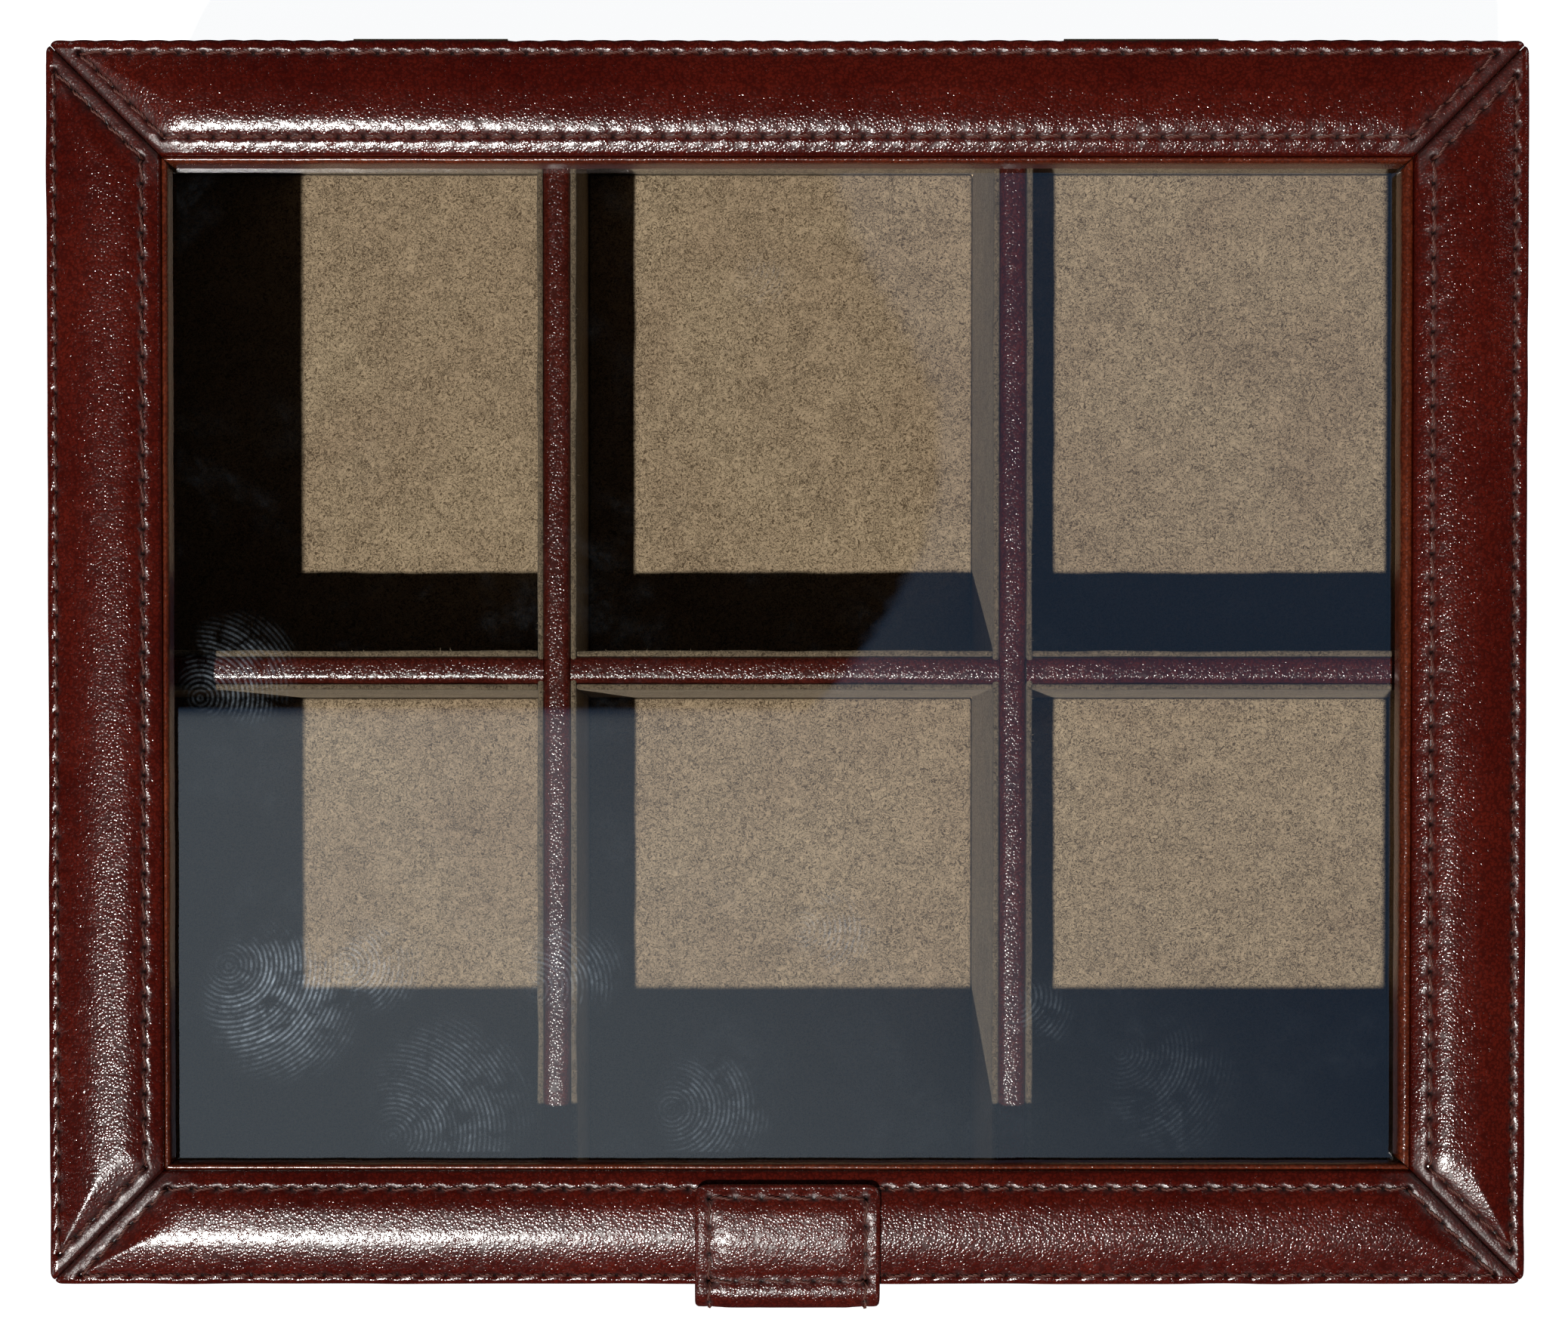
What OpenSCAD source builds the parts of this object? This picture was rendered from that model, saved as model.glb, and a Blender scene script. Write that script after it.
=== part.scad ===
// Leather covered organizer box: six suede lined compartments under a hinged
// lid with a padded leather frame, a glass window and a latch tab.
// Origin: middle of the underside, on the surface the box rests on.
// X runs across the width, the front with the latch tab is at -Y, the hinges are at +Y.

/* [Case] */
// Width of the closed case, side to side
case_w = 244; // [220:1:300]
// Depth of the closed case, front to back, without hinges and latch
case_d = 205; // [180:1:260]
// Height of the base up to its leather rim
base_h = 57; // [50:1:80]
// Height of the lid from its underside to the top of the padded frame
lid_h = 16.6; // [15.6:0.1:20]
// Gap between the base rim and the closed lid
parting_gap = 0.4; // [0.3:0.1:1]
// Radius of the upright outer corners
corner_r = 2; // [1.5:0.1:3]

/* [Walls and floor] */
// Thickness of the wall boards
board_t = 5; // [4:0.5:7]
// Thickness of the outer leather
leather_t = 1.2; // [0.8:0.1:1.4]
// Thickness of the suede covered lining boards
lining_t = 1.8; // [1.2:0.1:3]
// Thickness of the bottom board
bottom_t = 3; // [2:0.5:5]
// Thickness of the felt under the base
felt_t = 1.2; // [1:0.1:2]
// Thickness of the suede pad on each compartment floor
pad_t = 1.2; // [0.8:0.1:2]
// Thickness of leather and card turned over the two meeting rims
turn_t = 1; // [0.8:0.1:1.4]

/* [Dividers] */
// Distance from the middle of the case to the middle of each long divider
divider_x = 39.2; // [32:0.1:46]
// Thickness of a divider over its suede panels
divider_t = 6.6; // [5.6:0.1:9]
// Thickness of the leather covered board inside a divider
divider_leather_t = 4.7; // [4:0.1:5]
// Thickness of the leather round a divider's board
divider_wrap_t = 0.8; // [0.6:0.1:1.2]
// How far the long dividers stay below the rim
divider_drop = 6; // [2:0.5:12]
// How far the cross dividers stay below the long ones
cross_drop = 0.4; // [0.2:0.1:2]
// How far the suede panels stop below the leather cap of their divider
suede_drop = 0.6; // [0.3:0.1:1.5]

/* [Lid] */
// Width of the padded leather strips round the window
frame_w = 19; // [17:0.5:26]
// Width of the low leather lip between the strips and the window
lip_w = 1.1; // [0.8:0.1:2]
// How far the lip stays below the top of the strips
lip_drop = 2.5; // [1.5:0.1:3.5]
// Thickness of the foam under the leather strips
foam_t = 3.3; // [2:0.1:3.5]
// Thickness of the window glass
glass_t = 3; // [2:0.5:4]
// How far the glass surface lies below the top of the strips
glass_drop = 7; // [6.5:0.1:7.5]
// How far the glass reaches under the frame on each side
glass_bearing = 4; // [3:0.5:6]
// How far the lid's lining stays back from the edge of the window
lining_back = 2.5; // [1:0.1:3]

/* [Stitching] */
// Distance from a strip's outer edge to its outer row of stitches
stitch_outer = 1.9; // [1.5:0.1:3]
// Distance from a strip's inner edge to its inner row of stitches
stitch_inner = 2.9; // [2:0.1:4]
// Distance from a mitre seam to the stitches that run along it
stitch_mitre = 2.5; // [1.5:0.1:4]
// Width of the thread
thread_w = 0.6; // [0.4:0.1:1]

/* [Hinges] */
// Distance from the middle of the case to the middle of each hinge
hinge_x = 60; // [40:1:90]
// Length of a hinge along its pin
hinge_len = 26; // [20:1:36]
// Outer radius of the hinge knuckles
barrel_r = 1.8; // [1.6:0.1:2.2]
// Radius of the hinge pins
pin_r = 0.9; // [0.8:0.1:1.1]
// Distance between the three screws of a leaf
screw_pitch = 8.5; // [7:0.5:9]
// Length of a hinge screw
screw_len = 8; // [6:0.5:10]

/* [Latch tab] */
// Width of the latch tab
tab_w = 30.5; // [24:0.5:40]
// How far the tab reaches back over the lid from the front edge
tab_reach = 17.2; // [14:0.1:17.5]
// Thickness of the tab where it lies on the lid
tab_t = 2; // [1.6:0.1:2.4]
// Thickness of the hanging flap, two layers of leather
flap_t = 3.4; // [3:0.1:4]
// How far the flap reaches below the rim of the base
flap_below_rim = 14; // [13:0.5:20]
// Gap between the flap and the front of the case
flap_gap = 0.35; // [0.3:0.05:0.6]
// Radius of the latch magnet and its keeper
magnet_r = 5.5; // [4:0.5:6]
// Thickness of the latch magnet and its keeper
magnet_t = 1.5; // [1:0.1:1.6]

/* [Hidden] */
$fn = 48;

leather = [0.33, 0.07, 0.05];
suede = [0.57, 0.50, 0.42];
board = [0.72, 0.58, 0.42];
brass = [0.80, 0.64, 0.33];
steel = [0.70, 0.71, 0.73];
thread = [0.42, 0.16, 0.12];
foam = [0.86, 0.82, 0.70];

eps = 0.01;      // overshoot of a cutting tool past the face it cuts
mitre_reach = 40; // depth of the wedge that trims a frame piece to its mitres

// Case: half sizes from the middle to each face
half_w = case_w / 2;
half_d = case_d / 2;
board_x = half_w - leather_t;
board_y = half_d - leather_t;
lining_x = board_x - board_t;
lining_y = board_y - board_t;
inner_x = lining_x - lining_t;
inner_y = lining_y - lining_t;

// Base: levels from the underside up
hem_t = 0.8;                    // leather turned in under the bottom board
hem_w = 3;                      // how far it is turned in
hem_z = felt_t - hem_t;
bottom_z = felt_t + bottom_t;   // top of the bottom board
floor_z = bottom_z + pad_t;     // floor of the compartments
rim_under_z = base_h - turn_t;  // top of the wall boards
long_top_z = base_h - divider_drop;
cross_top_z = long_top_z - cross_drop;

// Lid: levels from the underside up
lid_z = base_h + parting_gap;
lid_top_z = lid_z + lid_h;
rail_z = lid_z + turn_t;
rail_top_z = lid_top_z - leather_t - foam_t;
glass_top_z = lid_top_z - glass_drop;
glass_z = glass_top_z - glass_t;
lip_top_z = lid_top_z - lip_drop;

// Lid: half sizes of the window and of the glass behind it
strip_x = half_w - frame_w;
strip_y = half_d - frame_w;
window_x = strip_x - lip_w;
window_y = strip_y - lip_w;
glass_x = window_x + glass_bearing;
glass_y = window_y + glass_bearing;
glass_play = 0.3;

// Hinges
barrel_gap = 0.2;
hinge_y = half_d + barrel_gap + barrel_r;
hinge_z = base_h + parting_gap / 2;
knuckles = 5;
knuckle_len = hinge_len / knuckles;
knuckle_play = 0.1;
pin_play = 0.05;
leaf_y = half_d - 0.1;          // outer edge of a leaf between its knuckles
screw_y = lining_y + board_t / 2;
screw_head_r = 1.8;
screw_head_t = 0.8;
screw_r = 0.9;
screw_point = 1.5;
screw_play = 0.05;

// Latch
pivot_y = -(half_d + flap_gap + flap_t / 2);
pivot_z = lid_top_z + tab_t - flap_t / 2;
tab_back_y = -(half_d - tab_reach);
fold_gap = 0.4;                 // between the fold and the top of the flap
flap_top_z = pivot_z - flap_t / 2 - fold_gap;
flap_end_z = base_h - flap_below_rim;
flap_back_y = pivot_y + flap_t / 2;
flap_corner_r = 5;
magnet_rise = 6.5;              // from the flap's lower end to the middle of the magnet
magnet_z = flap_end_z + magnet_rise;
magnet_play = 0.05;

// Stitching
thread_h = 0.4;
tab_stitch = 2.4;               // from the tab's edge to its stitches
tab_fold_stitch = 1.6;          // from the front edge to the row across the tab

// Box from one corner to the opposite one
module block(low, high) {
    translate(low) cube(high - low);
}

// Upright block with rounded corners, centred on the Z axis
module rounded_block(w, d, z0, z1, r) {
    translate([0, 0, z0]) linear_extrude(z1 - z0) {
        square([w - 2 * r, d], center = true);
        square([w, d - 2 * r], center = true);
        for (x = [-1, 1], y = [-1, 1])
            translate([x * (w / 2 - r), y * (d / 2 - r)]) circle(r);
    }
}

// Ring between two rectangles given by their half sizes
module ring(x_out, y_out, x_in, y_in, z0, z1) {
    difference() {
        block([-x_out, -y_out, z0], [x_out, y_out, z1]);
        block([-x_in, -y_in, z0 - eps], [x_in, y_in, z1 + eps]);
    }
}

// Keeps the part of a ring that belongs to one side, cut at 45 degree mitres.
// Side 0 is the front, 1 the right, 2 the back and 3 the left.
module mitred(side) {
    along = side % 2 == 0 ? half_w : half_d;
    across = side % 2 == 0 ? half_d : half_w;
    intersection() {
        children();
        rotate([0, 0, 90 * side]) linear_extrude(lid_top_z + 20) polygon([
            [-along - 1, -across - 1], [along + 1, -across - 1],
            [along - mitre_reach, -across + mitre_reach],
            [-along + mitre_reach, -across + mitre_reach]]);
    }
}

// Places the children at both hinges
module at_hinges() {
    for (x = [-hinge_x, hinge_x]) translate([x, 0, 0]) children();
}

// Places the children at the three screws of one leaf
module at_screws() {
    for (i = [-1, 0, 1]) translate([i * screw_pitch, screw_y, 0]) children();
}

// Room for a hinge leaf in the leather and the card of a rim
module leaf_recess(z) {
    at_hinges()
        block([-hinge_len / 2 - eps, lining_y, z], [hinge_len / 2 + eps, half_d + 1, z + turn_t]);
}

// ---- Base ----

module underside_felt() {
    color([0.16, 0.13, 0.12])
        block([-half_w + hem_w + 0.1, -half_d + hem_w + 0.1, 0],
              [half_w - hem_w - 0.1, half_d - hem_w - 0.1, felt_t]);
}

module bottom_board() {
    color(board) block([-board_x, -board_y, felt_t], [board_x, board_y, bottom_z]);
}

// Long wall board; side -1 is the front and 1 the back
module long_board(side) {
    y0 = side < 0 ? -board_y : lining_y;
    color(board) block([-board_x, y0, bottom_z], [board_x, y0 + board_t, rim_under_z]);
}

module front_board() {
    color(board) difference() {
        long_board(-1);
        translate([0, -board_y - eps, magnet_z]) rotate([-90, 0, 0])
            cylinder(r = magnet_r + magnet_play, h = magnet_t + eps);
    }
}

module back_board() {
    color(board) difference() {
        long_board(1);
        at_hinges() at_screws() translate([0, 0, base_h - screw_len - 1])
            cylinder(r = screw_r + screw_play, h = screw_len + 2);
    }
}

// Short wall board; side -1 is the left and 1 the right
module side_board(side) {
    x0 = side < 0 ? -board_x : lining_x;
    color(board) block([x0, -lining_y, bottom_z], [x0 + board_t, lining_y, rim_under_z]);
}

module left_board() { side_board(-1); }
module right_board() { side_board(1); }

// Leather of one side: it covers the wall, turns over the rim and in under the bottom
module base_leather(side) {
    color(leather) mitred(side) difference() {
        rounded_block(case_w, case_d, hem_z, base_h, corner_r);
        block([-board_x, -board_y, felt_t], [board_x, board_y, rim_under_z]);
        block([-inner_x, -inner_y, felt_t], [inner_x, inner_y, base_h + eps]);
        block([-half_w + hem_w, -half_d + hem_w, 0], [half_w - hem_w, half_d - hem_w, felt_t + eps]);
    }
}

module front_leather() { base_leather(0); }
module right_leather() { base_leather(1); }
module left_leather() { base_leather(3); }

module back_leather() {
    color(leather) difference() {
        base_leather(2);
        leaf_recess(rim_under_z);
    }
}

// Long suede lining; side -1 is the front and 1 the back
module long_lining(side) {
    y0 = side < 0 ? -lining_y : inner_y;
    color(suede) block([-lining_x, y0, bottom_z], [lining_x, y0 + lining_t, rim_under_z]);
}

// Short suede lining; side -1 is the left and 1 the right
module side_lining(side) {
    x0 = side < 0 ? -lining_x : inner_x;
    color(suede) block([x0, -inner_y, bottom_z], [x0 + lining_t, inner_y, rim_under_z]);
}

module front_lining() { long_lining(-1); }
module back_lining() { long_lining(1); }
module left_lining() { side_lining(-1); }
module right_lining() { side_lining(1); }

// The three columns of compartments, as their left and right faces
columns = [
    [-inner_x, -divider_x - divider_t / 2],
    [-divider_x + divider_t / 2, divider_x - divider_t / 2],
    [divider_x + divider_t / 2, inner_x]
];

// The two rows of compartments, as their front and back faces
rows = [[-inner_y, -divider_t / 2], [divider_t / 2, inner_y]];

// One pad in each of the six compartments
module floor_pads() {
    color(suede) for (c = columns, r = rows)
        block([c[0], r[0], bottom_z], [c[1], r[1], floor_z]);
}

// A divider along X from x = 0, built of three layers that share these sections

module divider_core(len, top_z) {
    t = divider_leather_t - 2 * divider_wrap_t;
    color(board) block([0, -t / 2, bottom_z], [len, t / 2, top_z - divider_wrap_t]);
}

module divider_leather(len, top_z) {
    t = divider_leather_t;
    core_t = t - 2 * divider_wrap_t;
    edge_r = divider_wrap_t;
    color(leather) difference() {
        union() {
            block([0, -t / 2, bottom_z], [len, t / 2, top_z - edge_r]);
            block([0, -t / 2 + edge_r, bottom_z], [len, t / 2 - edge_r, top_z]);
            for (y = [-1, 1]) translate([0, y * (t / 2 - edge_r), top_z - edge_r])
                rotate([0, 90, 0]) cylinder(r = edge_r, h = len);
        }
        block([-eps, -core_t / 2, bottom_z - eps], [len + eps, core_t / 2, top_z - divider_wrap_t]);
    }
}

module divider_suede(len, top_z) {
    t = (divider_t - divider_leather_t) / 2;
    color(suede) for (y = [-divider_t / 2, divider_leather_t / 2])
        block([0, y, bottom_z], [len, y + t, top_z - suede_drop]);
}

// Turns a divider from X to Y; side -1 is the left and 1 the right
module at_long_divider(side) {
    translate([side * divider_x, -inner_y, 0]) rotate([0, 0, 90]) children();
}

module left_divider_core() { at_long_divider(-1) divider_core(2 * inner_y, long_top_z); }
module left_divider_leather() { at_long_divider(-1) divider_leather(2 * inner_y, long_top_z); }
module left_divider_suede() { at_long_divider(-1) divider_suede(2 * inner_y, long_top_z); }
module right_divider_core() { at_long_divider(1) divider_core(2 * inner_y, long_top_z); }
module right_divider_leather() { at_long_divider(1) divider_leather(2 * inner_y, long_top_z); }
module right_divider_suede() { at_long_divider(1) divider_suede(2 * inner_y, long_top_z); }

// Cross dividers stand in one column each, butted against the long ones
module cross_core(c) {
    translate([c[0], 0, 0]) divider_core(c[1] - c[0], cross_top_z);
}

module cross_leather(c) {
    translate([c[0], 0, 0]) divider_leather(c[1] - c[0], cross_top_z);
}

module cross_suede(c) {
    translate([c[0], 0, 0]) divider_suede(c[1] - c[0], cross_top_z);
}

module cross_divider_left_core() { cross_core(columns[0]); }
module cross_divider_left_leather() { cross_leather(columns[0]); }
module cross_divider_left_suede() { cross_suede(columns[0]); }
module cross_divider_middle_core() { cross_core(columns[1]); }
module cross_divider_middle_leather() { cross_leather(columns[1]); }
module cross_divider_middle_suede() { cross_suede(columns[1]); }
module cross_divider_right_core() { cross_core(columns[2]); }
module cross_divider_right_leather() { cross_leather(columns[2]); }
module cross_divider_right_suede() { cross_suede(columns[2]); }

// Steel disc let into the front board behind the leather
module latch_keeper() {
    color(steel) translate([0, -board_y, magnet_z]) rotate([-90, 0, 0])
        cylinder(r = magnet_r, h = magnet_t);
}

// ---- Hinges ----

// One hinge leaf: a plate in the rim and the knuckles that it carries.
// The first knuckle is number 0 or 1, and every second one belongs to the leaf.
module hinge_leaf(z, first, bore_r, head_up) {
    difference() {
        union() {
            block([-hinge_len / 2, lining_y, z], [hinge_len / 2, leaf_y, z + turn_t]);
            for (i = [first : 2 : knuckles - 1]) translate([-hinge_len / 2 + i * knuckle_len, 0, 0]) {
                x0 = i == 0 ? 0 : knuckle_play / 2;
                x1 = knuckle_len - (i == knuckles - 1 ? 0 : knuckle_play / 2);
                translate([x0, hinge_y, hinge_z]) rotate([0, 90, 0])
                    cylinder(r = barrel_r, h = x1 - x0);
                block([x0, leaf_y - 1, z], [x1, hinge_y, z + turn_t]);
            }
        }
        translate([-hinge_len / 2 - 1, hinge_y, hinge_z]) rotate([0, 90, 0])
            cylinder(r = bore_r, h = hinge_len + 2);
        at_screws() translate([0, 0, head_up ? z + turn_t : z]) rotate([head_up ? 0 : 180, 0, 0])
            screw_shape(screw_play);
    }
}

// Countersunk screw pointing down, its head flush with z = 0
module screw_shape(play) {
    rotate_extrude() polygon([
        [0, play], [screw_head_r + play, play], [screw_head_r + play, 0],
        [screw_r + play, -screw_head_t], [screw_r + play, screw_point - screw_len], [0, -screw_len]]);
}

module base_hinge_leaves() {
    color(brass) at_hinges() hinge_leaf(rim_under_z, 0, pin_r + pin_play, true);
}

module lid_hinge_leaves() {
    color(brass) at_hinges() hinge_leaf(lid_z, 1, pin_r, false);
}

module base_hinge_screws() {
    color(brass) at_hinges() at_screws() translate([0, 0, base_h]) screw_shape(0);
}

module lid_hinge_screws() {
    color(brass) at_hinges() at_screws() translate([0, 0, lid_z]) rotate([180, 0, 0]) screw_shape(0);
}

module hinge_pins() {
    color(brass) at_hinges() translate([-hinge_len / 2, hinge_y, hinge_z]) rotate([0, 90, 0])
        cylinder(r = pin_r, h = hinge_len);
}

// ---- Lid ----

// Wooden rail: full height outside the glass, with a ledge over the glass edge
module rail(side) {
    color(board) mitred(side) difference() {
        ring(board_x, board_y, strip_x, strip_y, rail_z, rail_top_z);
        block([-glass_x - glass_play, -glass_y - glass_play, rail_z - eps],
              [glass_x + glass_play, glass_y + glass_play, glass_top_z]);
    }
}

module lid_front_rail() { rail(0); }
module lid_right_rail() { rail(1); }
module lid_left_rail() { rail(3); }

module lid_back_rail() {
    color(board) difference() {
        rail(2);
        at_hinges() at_screws() translate([0, 0, rail_z - 1])
            cylinder(r = screw_r + screw_play, h = screw_len + 1);
    }
}

// Foam bars on the four rails, under the leather
module lid_padding() {
    color(foam) for (side = [0 : 3]) mitred(side)
        ring(board_x, board_y, strip_x + leather_t, strip_y + leather_t,
            rail_top_z, lid_top_z - leather_t);
}

// Leather strip of one side: over the foam, down its inner edge and down the lid's side
module strip(side) {
    color(leather) mitred(side) difference() {
        rounded_block(case_w, case_d, lid_z, lid_top_z, corner_r);
        block([-board_x, -board_y, lid_z - eps], [board_x, board_y, rail_top_z]);
        ring(board_x, board_y, strip_x + leather_t, strip_y + leather_t,
             rail_top_z - eps, lid_top_z - leather_t);
        block([-strip_x, -strip_y, lid_z - eps], [strip_x, strip_y, lid_top_z + eps]);
    }
}

module lid_front_strip() { strip(0); }
module lid_right_strip() { strip(1); }
module lid_left_strip() { strip(3); }

module lid_back_strip() {
    color(leather) difference() {
        strip(2);
        leaf_recess(lid_z);
    }
}

// Low leather lip round the window
module lip(side) {
    color(leather) mitred(side) ring(strip_x, strip_y, window_x, window_y, glass_top_z, lip_top_z);
}

module window_front_lip() { lip(0); }
module window_right_lip() { lip(1); }
module window_back_lip() { lip(2); }
module window_left_lip() { lip(3); }

module window_glass() {
    color([0.75, 0.85, 0.88, 0.35])
        block([-glass_x, -glass_y, glass_z], [glass_x, glass_y, glass_top_z]);
}

// Suede covered card on the lid's underside, with the bead that holds the glass
module lid_lining(side) {
    x = window_x + lining_back;
    y = window_y + lining_back;
    color(suede) mitred(side) {
        ring(board_x, board_y, x, y, lid_z, rail_z);
        ring(glass_x, glass_y, x, y, lid_z, glass_z);
    }
}

module lid_front_lining() { lid_lining(0); }
module lid_right_lining() { lid_lining(1); }
module lid_left_lining() { lid_lining(3); }

module lid_back_lining() {
    color(suede) difference() {
        lid_lining(2);
        leaf_recess(lid_z);
    }
}

// ---- Stitching ----

// Straight run of thread on the plane z = 0
module thread_run(from, to) {
    d = to - from;
    translate(from) rotate([0, 0, atan2(d[1], d[0])])
        translate([-thread_w / 2, -thread_w / 2, 0]) cube([norm(d) + thread_w, thread_w, thread_h]);
}

// Closed run on one strip, parallel to its two edges and its two mitres
module strip_run(side) {
    along = side % 2 == 0 ? half_w : half_d;
    across = side % 2 == 0 ? half_d : half_w;
    shift = stitch_mitre * sqrt(2);
    outer = stitch_outer;
    inner = frame_w - stitch_inner;
    corners = [
        [-along + outer + shift, -across + outer], [along - outer - shift, -across + outer],
        [along - inner - shift, -across + inner], [-along + inner + shift, -across + inner]];
    rotate([0, 0, 90 * side]) for (i = [0 : 3]) thread_run(corners[i], corners[(i + 1) % 4]);
}

// Runs on the four strips, hidden under the tab, and the runs on the tab itself
module lid_stitching() {
    x = tab_w / 2 - tab_stitch;
    y_back = tab_back_y + tab_stitch;
    y_fold = -half_d + tab_fold_stitch;
    color(thread) {
        translate([0, 0, lid_top_z]) difference() {
            for (side = [0 : 3]) strip_run(side);
            block([-tab_w / 2 - 0.2, -half_d - 1, -1], [tab_w / 2 + 0.2, tab_back_y + 0.2, 1]);
        }
        translate([0, 0, lid_top_z + tab_t]) {
            thread_run([-x, y_back], [x, y_back]);
            thread_run([-x, y_fold], [x, y_fold]);
            for (s = [-x, x]) thread_run([s, y_back], [s, y_fold]);
        }
    }
}

// ---- Latch ----

// Part of the tab that is stitched to the lid, ending in the fold over the front edge
module latch_tab() {
    whole = tab_reach + 2 * corner_r;
    color(leather) {
        difference() {
            translate([0, tab_back_y - whole / 2, 0])
                rounded_block(tab_w, whole, lid_top_z, lid_top_z + tab_t, corner_r);
            block([-tab_w, -half_d - whole, lid_top_z - 1], [tab_w, -half_d, lid_top_z + tab_t + 1]);
        }
        block([-tab_w / 2, pivot_y, lid_top_z], [tab_w / 2, -half_d, lid_top_z + tab_t]);
        translate([-tab_w / 2, pivot_y, pivot_z]) rotate([0, 90, 0])
            cylinder(r = flap_t / 2, h = tab_w);
    }
}

// Hanging end of the tab, with rounded lower corners and a pocket for the magnet
module latch_flap() {
    r = flap_corner_r;
    color(leather) difference() {
        translate([0, flap_back_y, 0]) rotate([90, 0, 0]) linear_extrude(flap_t) {
            translate([-tab_w / 2, flap_end_z + r]) square([tab_w, flap_top_z - flap_end_z - r]);
            translate([-tab_w / 2 + r, flap_end_z]) square([tab_w - 2 * r, r + 1]);
            for (x = [-1, 1]) translate([x * (tab_w / 2 - r), flap_end_z + r]) circle(r);
        }
        translate([0, flap_back_y + eps, magnet_z]) rotate([90, 0, 0])
            cylinder(r = magnet_r + magnet_play, h = magnet_t + eps);
    }
}

module latch_magnet() {
    color(steel) translate([0, flap_back_y, magnet_z]) rotate([90, 0, 0])
        cylinder(r = magnet_r, h = magnet_t);
}

// Two side runs and the run across the lower end, on the outer face of the flap
module flap_stitching() {
    x = tab_w / 2 - tab_stitch;
    z_end = flap_end_z + tab_stitch;
    color(thread) translate([0, flap_back_y - flap_t, 0]) rotate([90, 0, 0]) {
        thread_run([-x + 2, z_end], [x - 2, z_end]);
        for (s = [-1, 1]) {
            thread_run([s * x, flap_top_z - 1], [s * x, z_end + 2]);
            thread_run([s * x, z_end + 2], [s * (x - 2), z_end]);
        }
    }
}

underside_felt();
bottom_board();
front_board();
back_board();
left_board();
right_board();
front_leather();
back_leather();
left_leather();
right_leather();
front_lining();
back_lining();
left_lining();
right_lining();
floor_pads();
left_divider_core();
left_divider_leather();
left_divider_suede();
right_divider_core();
right_divider_leather();
right_divider_suede();
cross_divider_left_core();
cross_divider_left_leather();
cross_divider_left_suede();
cross_divider_middle_core();
cross_divider_middle_leather();
cross_divider_middle_suede();
cross_divider_right_core();
cross_divider_right_leather();
cross_divider_right_suede();
base_hinge_leaves();
base_hinge_screws();
latch_keeper();
lid_front_rail();
lid_back_rail();
lid_left_rail();
lid_right_rail();
lid_padding();
lid_front_strip();
lid_back_strip();
lid_left_strip();
lid_right_strip();
window_front_lip();
window_back_lip();
window_left_lip();
window_right_lip();
window_glass();
lid_front_lining();
lid_back_lining();
lid_left_lining();
lid_right_lining();
lid_stitching();
lid_hinge_leaves();
lid_hinge_screws();
hinge_pins();
latch_tab();
latch_flap();
latch_magnet();
flap_stitching();
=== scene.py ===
"""Looks of the leather covered organizer box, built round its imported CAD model.

Shapes are worked out in millimetres and turned to metres when a mesh is made. The frame pieces of
the lid and the case use a side's own coordinates: s runs along the side, t runs inward from the
case's outer face and z is up. Side 0 is the front, 1 the right, 2 the back and 3 the left.
"""

import math

import bpy
import numpy as np
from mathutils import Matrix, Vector


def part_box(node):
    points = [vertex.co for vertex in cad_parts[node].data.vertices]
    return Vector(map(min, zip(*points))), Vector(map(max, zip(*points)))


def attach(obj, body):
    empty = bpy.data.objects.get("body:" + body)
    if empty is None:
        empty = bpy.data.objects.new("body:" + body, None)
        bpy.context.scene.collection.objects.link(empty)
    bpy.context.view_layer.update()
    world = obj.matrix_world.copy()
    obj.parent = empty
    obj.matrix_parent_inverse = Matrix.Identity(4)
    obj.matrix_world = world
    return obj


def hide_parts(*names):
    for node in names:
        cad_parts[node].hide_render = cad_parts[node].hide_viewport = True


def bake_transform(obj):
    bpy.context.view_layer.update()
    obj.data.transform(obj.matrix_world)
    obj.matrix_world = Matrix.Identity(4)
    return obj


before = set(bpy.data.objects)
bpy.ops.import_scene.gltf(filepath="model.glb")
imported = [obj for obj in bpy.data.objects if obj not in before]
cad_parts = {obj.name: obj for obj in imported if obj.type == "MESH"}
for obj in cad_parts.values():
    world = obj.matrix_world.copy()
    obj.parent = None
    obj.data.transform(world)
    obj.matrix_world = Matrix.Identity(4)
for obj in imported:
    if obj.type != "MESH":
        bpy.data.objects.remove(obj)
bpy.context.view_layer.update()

MM = 0.001
SIDES = ("front", "right", "back", "left")


def box_mm(node):
    """Lowest and highest corner of a CAD node, in millimetres."""
    low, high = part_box(node)
    return np.array(low) / MM, np.array(high) / MM


# ---- Sizes read from the CAD model, in millimetres ----

HALF_W = box_mm("lid_right_strip")[1][0]
HALF_D = box_mm("lid_back_strip")[1][1]
LID_Z = box_mm("lid_front_strip")[0][2]
LID_TOP = box_mm("lid_front_strip")[1][2]
FRAME_W = HALF_W - box_mm("lid_right_strip")[0][0]
LEDGE_Z = box_mm("lid_front_rail")[1][2]
LIP_LOW, LIP_HIGH = box_mm("window_right_lip")[0][2], box_mm("window_right_lip")[1][2]
LIP_W = np.ptp(box_mm("window_right_lip"), axis=0)[0]
LINING_TOP = box_mm("lid_right_lining")[1][2]
RIM_Z = box_mm("right_leather")[1][2]
HEM_Z = box_mm("right_leather")[0][2]
FELT_TOP = box_mm("underside_felt")[1][2]
HEM_W = HALF_W - box_mm("underside_felt")[1][0]
BOARD_TOP = box_mm("right_board")[1][2]
WALL_T = HALF_W - box_mm("right_lining")[0][0]
LEATHER_T = HALF_W - box_mm("right_board")[1][0]
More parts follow.
